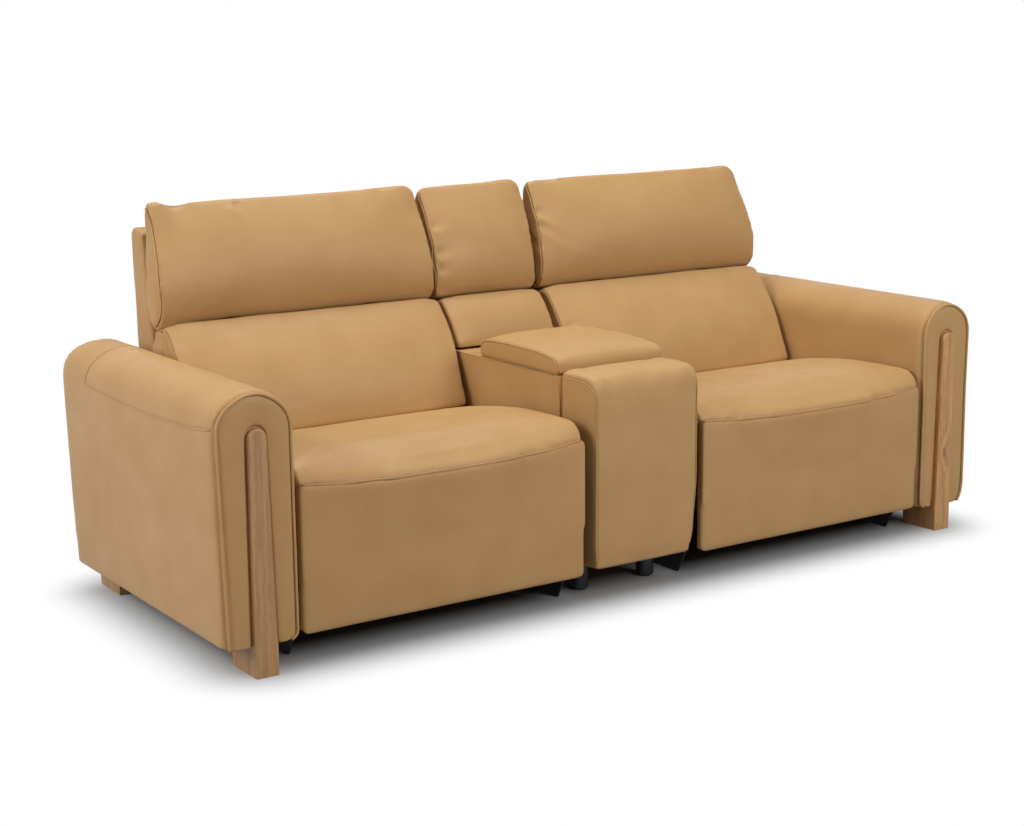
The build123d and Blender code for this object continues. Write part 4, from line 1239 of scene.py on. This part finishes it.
def head_seams(body, centre, half, label):
    """Welts of an upper back cushion along both ends, with stitching beside them, and along its top."""
    sizes = bpy.context.scene.loveseat_sizes
    tree = tree_of(body)
    welts = []
    rows = []
    for sign in (-1, 1):
        path, normals = sewn_line(tree, head_welt(centre, half, sign, SEAM_OUT, SEAM_BACK), 4)
        carve(body, path, 0.005, sizes.seam)
        welts.append(edge_welt("head_welt", path, normals))
        row, row_normals = on_skin(tree, [p + Vector((-sign * ROW_IN, -ROW_FORWARD, 0)) for p in path])
        rows.append(stitches("head_row", row, row_normals))
    top = [place(centre + share * half, 0.806, 0.990) for share in spread(120, -0.93, 0.93)]
    path, normals = on_skin(tree, top)
    welts.append(edge_welt("head_top_welt", relax(path, 6), normals, 0.6))
    return merge(f"{label}_welts", welts), merge(f"{label}_stitching", rows)


def lift_corner(body, centre, half, sign, rise, reach, dip=0.0):
    """Pulls an end's top corner up into a soft hump, with a dip beside it where the hide is drawn tight."""

    def move(x, depth, height):
        inward = np.maximum(half - sign * (x - centre) - 0.012, 0.0)
        hump = rise * np.exp(-((inward / reach) ** 2))
        hollow = dip * np.exp(-(((inward - 0.055) / 0.024) ** 2))
        return 0, 0, soft_step(0.90, 0.975, height) * (hump - hollow)

    push(body, move)


def round_corner(body, centre, half, sign, radius):
    """Rounds an end's top corner off."""

    def move(x, depth, height):
        out = np.clip(sign * (x - centre) - (half - radius), 0.0, radius)
        drop = radius - np.sqrt(radius * radius - out * out)
        return 0, 0, -drop * soft_step(0.88, 0.975, height)

    push(body, move)


def droop_corner(body, centre, half, sign, fall):
    """Lets an end's lower corner hang over the cushion below."""

    def move(x, depth, height):
        near = soft_step(half - 0.10, half, sign * (x - centre))
        return 0, 0, -fall * near * (1 - soft_step(0.69, 0.76, height))

    push(body, move)


def head_slots(centre):
    """The two slots that the headrest hinges reach through."""
    bm = bmesh.new()
    for sign in (-1, 1):
        middle = centre + sign * HINGE_X
        add_prism(bm, HINGE_SLOT, middle - HINGE_SLOT_HALF, middle + HINGE_SLOT_HALF)
    bmesh.ops.recalc_face_normals(bm, faces=bm.faces)
    return object_from("slots", bm, smooth=False)


def stuff_head(name, section, centre, half, voxel, most, cutter=None):
    """A stuffed upper back cushion, held along its sewn ends and on its board."""
    body = loft_skin(name, section, centre, half, voxel, 5, cutter)
    sewn = near_lines([head_welt(centre, half, sign) for sign in (-1, 1)], HELD_REACH)

    def held(p):
        depth = p.y - FACE
        return depth > 0.79 or (depth > 0.722 and p.z < 0.80) or p.z < 0.695 or sewn(p)

    swell(body, held, most)
    refine(body)
    return body


def dress_headrest():
    """The right upper back cushion, stuffed and not yet sewn."""
    sizes = bpy.context.scene.loveseat_sizes
    slots = head_slots(SEAT_X)
    body = stuff_head("headrest_right", head_section, SEAT_X, HEAD_HALF, sizes.voxel, 0.009, slots)
    ripple(body, 0.11, 0.0016, 17)
    return body


def fill_headrest(body, centre, inner, inner_fall):
    """Fills the ends of an upper back cushion out, most near its foot."""
    bulge_ends(
        body, centre, HEAD_HALF,
        lambda z: inner - inner_fall * soft_step(0.70, 0.99, z),
        lambda z: 0.022 - 0.014 * soft_step(0.78, 0.95, z),
    )


def fold(body, centre, half, share, height, run, rise, depth):
    """A short fold from a spot on an upper cushion's face."""
    outline = head_section(share)
    face = min(outline, key=lambda p: abs(p[1] - height) + (p[0] > 0.78))[0]
    start = place(centre + share * half, face, height)
    pucker(body, start, start + Vector((run, 0.3 * rise, rise)), 0.014, depth)


class LOVESEAT_OT_headrests(bpy.types.Operator):
    """Stuffs both upper back cushions and sews their welts"""

    bl_idname = "loveseat.headrests"
    bl_label = "Upper back cushions"

    def execute(self, context):
        right = dress_headrest()
        left = mirrored(right)
        fill_headrest(right, SEAT_X, 0.017, 0.010)
        fill_headrest(left, -SEAT_X, 0.027, 0.010)
        lift_corner(left, -SEAT_X, HEAD_HALF, -1, 0.012, 0.028, 0.005)
        lift_corner(left, -SEAT_X, HEAD_HALF, 1, 0.013, 0.110)
        lift_corner(right, SEAT_X, HEAD_HALF, -1, 0.003, 0.060)
        lift_corner(right, SEAT_X, HEAD_HALF, 1, 0.009, 0.120)
        round_corner(left, -SEAT_X, HEAD_HALF + 0.018, 1, 0.030)
        round_corner(right, SEAT_X, HEAD_HALF + 0.008, 1, 0.034)
        round_corner(right, SEAT_X, HEAD_HALF + 0.006, -1, 0.012)
        droop_corner(left, -SEAT_X, HEAD_HALF, -1, 0.012)
        fold(left, -SEAT_X, HEAD_HALF, -0.37, 0.974, 0.034, -0.056, 0.0040)
        fold(right, SEAT_X, HEAD_HALF, -0.98, 0.898, 0.065, -0.034, 0.0055)
        fold(right, SEAT_X, HEAD_HALF, -0.98, 0.858, 0.110, -0.074, 0.0065)
        for cushion, side, sign in ((right, "right", 1), (left, "left", -1)):
            body = f"{side}_headrest"
            welts, rows = head_seams(cushion, sign * SEAT_X, HEAD_HALF, f"headrest_{side}")
            finish_leather(cushion, body, [f"headrest_cushion_{side}"])
            finish_leather(welts, body)
            finish_piece(rows, body, FINISHES["thread"])
        return {"FINISHED"}


class LOVESEAT_OT_outer_backs(bpy.types.Operator):
    """Covers the outer back slabs in leather"""

    bl_idname = "loveseat.outer_backs"
    bl_label = "Outer backs"

    def execute(self, context):
        sizes = context.scene.loveseat_sizes
        for node, body in (
            ("back_frame_right", "right_back"),
            ("back_frame_left", "left_back"),
            ("console_back_frame", "frame"),
        ):
            name = node.replace("back_frame", "outer_back")
            obj = node_skin(name, node, sizes.voxel * 0.7, 4)
            low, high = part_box(node)
            centre = (low.x + high.x) / 2
            proud = 0.016 if node != "console_back_frame" else 0.002
            half = (high.x - low.x) / 2
            push(obj, lambda x, depth, height: ((x - centre) * proud / half, 0, 0))
            shade_smooth(obj.data)
            finish_leather(obj, body, [node])
        return {"FINISHED"}


# Console

CONSOLE_FRONT_SEAM = [
    (0.001, 0.10), (-0.002, 0.30), (-0.003, 0.50), (0.006, 0.538), (0.045, 0.553), (0.128, 0.556),
]
CONSOLE_BOX_SEAM = [(0.133, 0.44), (0.136, 0.53), (0.15, 0.551), (0.19, 0.556), (0.60, 0.556), (0.70, 0.545)]


def console_edge(x):
    """Side line of the console's front block, from its foot up the front and over the top."""
    return [place(x, d, z) for d, z in CONSOLE_FRONT_SEAM]


def dress_console_front():
    """Front block: its leather rolls over the top, with a seam down each side edge."""
    sizes = bpy.context.scene.loveseat_sizes
    body = node_skin("console_front_pad", "console_front", sizes.voxel * 0.8, 3)
    swell(body, lambda p: p.y - FACE > 0.11 or p.z < 0.10 or abs(p.x) > CONSOLE_HALF - 0.008, 0.006, 0.003)
    refine(body)

    def fill_out(x, depth, height):
        foot = 0.012 * soft_step(0.15, 0.085, height)
        right = 0.011 * soft_step(0.14, 0.30, height) * soft_step(0.128, 0.085, depth) - foot
        left = -0.014 * soft_step(0.115, 0.0, depth) - 0.3 * foot
        edge = soft_step(0.09, CONSOLE_HALF, np.abs(x))
        top = soft_step(0.48, 0.555, height)
        return np.where(x > 0, right, -left) * edge, 0, (0.002 + 0.010 * edge) * top

    push(body, fill_out)
    tree = tree_of(body)
    seams = []
    for sign in (-1, 1):
        shift = 0.012 if sign < 0 else 0.010
        path, normals = sewn_line(tree, console_edge(sign * CONSOLE_HALF + shift), 5)
        carve(body, path, 0.004, sizes.seam * 0.6)
        seams.append(edge_welt("console_seam", path, normals))
    return body, merge("console_front_seams", seams)


def paint_lining(obj):
    """The faces inside the storage bin take the dark lining."""
    obj.data.materials.append(FINISHES["lining"])
    low = place(-0.140, 0.162, 0.316)
    high = place(0.140, 0.473, 0.549)
    for face in obj.data.polygons:
        middle = face.center
        if all(low[k] < middle[k] < high[k] for k in range(3)):
            face.material_index = 1


def dress_console_box():
    """The console's box with eased edges, and a welt along each top edge."""
    sizes = bpy.context.scene.loveseat_sizes
    body = node_skin("console_box", "console_shell", sizes.voxel * 0.7, 2)
    shade_smooth(body.data)
    tree = tree_of(body)
    seams = []
    for sign in (-1, 1):
        line = [place(sign * CONSOLE_HALF, d, z) for d, z in CONSOLE_BOX_SEAM]
        path, normals = sewn_line(tree, line, 6)
        seams.append(edge_welt("box_seam", path, normals))
    return body, merge("console_box_seams", seams)


def console_lower_section(share):
    """Side view of the small lower cushion, which stands on the box."""
    full = fullness(share, CUSHION_ROUND)
    crest = (0.692, 0.686 + 0.005 * full)
    face = bowed(crest, (0.606, 0.566), 0.008 + 0.012 * full)
    behind = [(0.768, 0.560), (0.794, 0.668), (0.740, 0.672), (0.718, 0.680), (0.704, crest[1] - 0.002)]
    return behind + face + [(0.618, 0.557)]


def dress_console_cushions():
    """The small lower and upper back cushions behind the console, a little to the right of its middle."""
    sizes = bpy.context.scene.loveseat_sizes
    middle = CONSOLE_PAD_X
    voxel = sizes.voxel * 0.8
    lower = loft_skin("console_lower_pad", console_lower_section, middle, CONSOLE_HALF, voxel, 5)

    def held(p):
        return p.y - FACE > 0.70 or p.z < 0.565 or abs(p.x - middle) > CONSOLE_HALF - 0.004

    swell(lower, held, 0.010)
    refine(lower)
    upper = stuff_head("console_upper_pad", console_head_section, middle, CONSOLE_HALF, voxel, 0.009)

    def widen(x, depth, height):
        left = soft_step(0.0, CONSOLE_HALF, middle - x)
        return -0.012 * left * soft_step(0.66, 0.72, height), 0, 0

    push(upper, widen)
    ripple(upper, 0.09, 0.0018, 23)
    lift_corner(upper, middle, CONSOLE_HALF, 1, 0.008, 0.080)
    round_corner(upper, middle, CONSOLE_HALF, 1, 0.036)
    round_corner(upper, middle, CONSOLE_HALF + 0.012, -1, 0.020)
    fold(upper, middle, CONSOLE_HALF, -0.96, 0.880, 0.055, 0.018, 0.0050)
    fold(upper, middle, CONSOLE_HALF, -0.96, 0.812, 0.055, 0.004, 0.0055)
    fold(upper, middle, CONSOLE_HALF, -0.96, 0.765, 0.035, 0.004, 0.0030)
    welts, rows = head_seams(upper, middle, CONSOLE_HALF, "console_upper")
    return lower, upper, welts, rows


class LOVESEAT_OT_console(bpy.types.Operator):
    """Pads the console: front block, box and the two cushions behind it"""

    bl_idname = "loveseat.console"
    bl_label = "Console"

    def execute(self, context):
        front, front_seams = dress_console_front()
        finish_leather(front, "frame", ["console_front"])
        finish_piece(front_seams, "frame", FINISHES["welt"])
        box, box_seams = dress_console_box()
        finish_leather(box, "frame", ["console_shell"])
        paint_lining(box)
        finish_piece(box_seams, "frame", FINISHES["welt"])
        lower, upper, welts, rows = dress_console_cushions()
        finish_leather(lower, "frame", ["console_lower_cushion"])
        finish_leather(upper, "frame", ["console_upper_cushion"])
        finish_leather(welts, "frame")
        finish_piece(rows, "frame", FINISHES["thread"])
        return {"FINISHED"}


LID_SEAM = [
    (0.497, 0.583), (0.486, 0.598), (0.450, 0.604), (0.400, 0.6065), (0.330, 0.607),
    (0.240, 0.605), (0.185, 0.602), (0.155, 0.596), (0.141, 0.584), (0.137, 0.560),
]


def lid_section(share):
    """Side view of the lid: a boxed edge that covers the board, a nearly flat top and a round front edge."""
    full = fullness(share, CUSHION_ROUND)
    return [
        (0.498, 0.5572),
        (0.137, 0.5572),
        (0.133, 0.572),
        (0.135 - 0.002 * full, 0.588),
        (0.146 - 0.003 * full, 0.600 + 0.003 * full),
        (0.178, 0.606 + 0.006 * full),
        (0.240, 0.610 + 0.008 * full),
        (0.330, 0.612 + 0.010 * full),
        (0.420, 0.611 + 0.010 * full),
        (0.470, 0.607 + 0.009 * full),
        (0.492, 0.596 + 0.006 * full),
        (0.500, 0.578),
    ]


class LOVESEAT_OT_lid(bpy.types.Operator):
    """Stuffs the console's lid and sews the welt round its boxing"""

    bl_idname = "loveseat.lid"
    bl_label = "Console lid"

    def execute(self, context):
        sizes = context.scene.loveseat_sizes
        half = CONSOLE_HALF + 0.003
        body = loft_skin("lid_pad", lid_section, 0.0, half, sizes.voxel * 0.7, 3)
        swell(body, lambda p: p.z < 0.565 or abs(p.x) > half - 0.006, 0.006, 0.003)
        refine(body)
        tree = tree_of(body)
        seams = []
        for sign in (-1, 1):
            line = [place(sign * half, d, z) for d, z in LID_SEAM]
            path, normals = sewn_line(tree, line, 6)
            carve(body, path, 0.004, sizes.seam * 0.6)
            seams.append(edge_welt("lid_seam", path, normals))
        finish_leather(body, "console_lid", ["lid_cushion"])
        finish_piece(merge("lid_seams", seams), "console_lid", FINISHES["welt"])
        return {"FINISHED"}


# Rigid pieces keep their CAD shape and get their finish


def finish_nodes(slots):
    """Gives the CAD nodes of some material slots their finish."""
    for part in frame["record"]["subparts"]:
        if part["material_slot"] in slots:
            mesh = frame["nodes"][part["node"]].data
            mesh.materials.clear()
            mesh.materials.append(FINISHES[part["material_slot"]])


class LOVESEAT_OT_wood(bpy.types.Operator):
    """Finishes the oak stiles and feet and the hidden boards"""

    bl_idname = "loveseat.wood"
    bl_label = "Wood"

    def execute(self, context):
        finish_nodes(("oak", "plywood"))
        return {"FINISHED"}


class LOVESEAT_OT_mechanism(bpy.types.Operator):
    """Finishes the steel and plastic pieces of the seats' mechanism, the feet and the switches"""

    bl_idname = "loveseat.mechanism"
    bl_label = "Mechanism and switches"

    def execute(self, context):
        finish_nodes(("black_steel", "steel", "plastic", "button"))
        return {"FINISHED"}


# Stage

# Painted shadow: round the footprint the floor shows the camera a darker grey instead of white, fading out a
# quarter metre beyond it, over the shadow the lamps cast.
FOOTPRINT = (1.03, 0.36, 0)
PAINTED_SHADOW_REACH = 0.25
PAINTED_SHADOW_FLOOR = (0.32, 0.32, 0.32, 1)


def see_through_light(tree):
    """1 for rays that show the stage to the camera, straight or through gloss and glass."""
    path = tree.nodes.new("ShaderNodeLightPath").outputs
    straight = calc(tree, "MAXIMUM", path["Is Camera Ray"], path["Is Glossy Ray"])
    return calc(tree, "MAXIMUM", straight, path["Is Transmission Ray"])


def make_floor():
    """A wide floor that shows white to the camera away from the loveseat. Near its footprint the camera sees
    a darker grey that fades to white, which is a painted shadow round its foot, and the shadow the lamps cast
    lies on it.
    """
    bm = bmesh.new()
    bmesh.ops.create_grid(bm, x_segments=1, y_segments=1, size=14.0)
    floor = object_from("studio_floor", bm, smooth=False)
    floor.location.z = -0.0005
    material = bpy.data.materials.new("studio_floor")
    material.use_nodes = True
    tree = material.node_tree
    tree.nodes.clear()
    out = tree.nodes.new("ShaderNodeOutputMaterial")
    seen = see_through_light(tree)
    base = tuple(bpy.context.scene.loveseat_colours.floor)
    # Painted shadow: to the camera, the floor near the loveseat has this darker grey; light bounces off the
    # plain floor colour.
    matt = add_node(tree, "ShaderNodeBsdfDiffuse", Color=mix(tree, seen, base, PAINTED_SHADOW_FLOOR))
    white = add_node(tree, "ShaderNodeEmission", Color=(1, 1, 1, 1), Strength=1.0)
    where = tree.nodes.new("ShaderNodeTexCoord").outputs["Object"]
    past = calc_vector(tree, "SUBTRACT", calc_vector(tree, "ABSOLUTE", where), FOOTPRINT)
    reach = calc_vector(tree, "LENGTH", calc_vector(tree, "MAXIMUM", past, (0, 0, 0)))
    far = remap(tree, reach, 0.0, PAINTED_SHADOW_REACH, curve="SMOOTHSTEP")
    # Share of plain white: none inside the footprint, all of it past the painted shadow's reach.
    beyond_painted_shadow = calc(tree, "MULTIPLY", far, seen)
    both = add_node(tree, "ShaderNodeMixShader", _0=beyond_painted_shadow, _1=matt.outputs[0], _2=white.outputs[0])
    tree.links.new(both.outputs[0], out.inputs["Surface"])
    floor.data.materials.append(material)


def make_world():
    """Even studio light; the backdrop is white to the camera."""
    world = bpy.data.worlds.new("studio")
    world.use_nodes = True
    tree = world.node_tree
    tree.nodes.clear()
    out = tree.nodes.new("ShaderNodeOutputWorld")
    strength = remap(tree, see_through_light(tree), to_low=0.07)
    sky = add_node(tree, "ShaderNodeBackground", Color=(1, 1, 1, 1), Strength=strength)
    tree.links.new(sky.outputs[0], out.inputs["Surface"])
    bpy.context.scene.world = world


def add_softbox(name, spot, target, size, power):
    """A rectangular lamp that faces a point of the loveseat."""
    light = bpy.data.lights.new(name, "AREA")
    light.shape = "RECTANGLE"
    light.size, light.size_y = size
    light.energy = power
    obj = bpy.data.objects.new(name, light)
    bpy.context.scene.collection.objects.link(obj)
    obj.location = spot
    obj.rotation_euler = (Vector(target) - Vector(spot)).to_track_quat("-Z", "Y").to_euler()


def make_camera():
    """Camera at the photographed angle: from the front left, a little above the arms, with a slight roll."""
    camera = bpy.data.objects.new("camera", bpy.data.cameras.new("camera"))
    bpy.context.scene.collection.objects.link(camera)
    camera.data.sensor_width = 36.0
    camera.data.lens = 65.69
    spot = place(-2.7788, -3.5885, 1.4092)
    target = place(-0.0205, 0.5604, 0.3742)
    back = (spot - target).normalized()
    right = Vector((0, 0, 1)).cross(back).normalized()
    up = back.cross(right)
    roll = math.radians(-0.635)
    tilted_right = right * math.cos(roll) + up * math.sin(roll)
    tilted_up = up * math.cos(roll) - right * math.sin(roll)
    turned = Matrix((tilted_right, tilted_up, back)).transposed().to_4x4()
    camera.matrix_world = Matrix.Translation(spot) @ turned
    bpy.context.scene.camera = camera


class LOVESEAT_OT_stage(bpy.types.Operator):
    """Sets up the floor, the lights and the camera"""

    bl_idname = "loveseat.stage"
    bl_label = "Stage"

    def execute(self, context):
        context.scene.view_settings.view_transform = "Standard"
        make_floor()
        make_world()
        add_softbox("side", (-4.2, 0.0, 2.2), (-0.3, 0, 0.4), (2.2, 2.2), 104)
        add_softbox("top", (0.1, 0.6, 4.2), (0, 0, 0.4), (3.2, 2.2), 116)
        add_softbox("front", (0.8, -4.4, 3.0), (0, 0, 0.4), (2.4, 2.0), 152)
        make_camera()
        return {"FINISHED"}


class LOVESEAT_PT_panel(bpy.types.Panel):
    """Lists the loveseat's pieces in the sidebar"""

    bl_label = "Loveseat"
    bl_idname = "LOVESEAT_PT_panel"
    bl_space_type = "VIEW_3D"
    bl_region_type = "UI"
    bl_category = "Loveseat"

    def draw(self, context):
        for group in (context.scene.loveseat_colours, context.scene.loveseat_sizes):
            for key in group.__annotations__:
                self.layout.prop(group, key)
        for operator in OPERATORS:
            self.layout.operator(operator.bl_idname)


OPERATORS = (
    LOVESEAT_OT_arms,
    LOVESEAT_OT_seats,
    LOVESEAT_OT_footrests,
    LOVESEAT_OT_lumbars,
    LOVESEAT_OT_headrests,
    LOVESEAT_OT_outer_backs,
    LOVESEAT_OT_console,
    LOVESEAT_OT_lid,
    LOVESEAT_OT_wood,
    LOVESEAT_OT_mechanism,
    LOVESEAT_OT_stage,
)
CLASSES = (LoveseatColours, LoveseatSizes, *OPERATORS, LOVESEAT_PT_panel)


def register():
    for cls in CLASSES:
        bpy.utils.register_class(cls)
    bpy.types.Scene.loveseat_colours = PointerProperty(type=LoveseatColours)
    bpy.types.Scene.loveseat_sizes = PointerProperty(type=LoveseatSizes)


def unregister():
    del bpy.types.Scene.loveseat_sizes
    del bpy.types.Scene.loveseat_colours
    for cls in reversed(CLASSES):
        bpy.utils.unregister_class(cls)


def main():
    register()
    make_finishes()
    for operator in OPERATORS:
        family, name = operator.bl_idname.split(".")
        getattr(getattr(bpy.ops, family), name)()


if __name__ == "__main__":
    main()
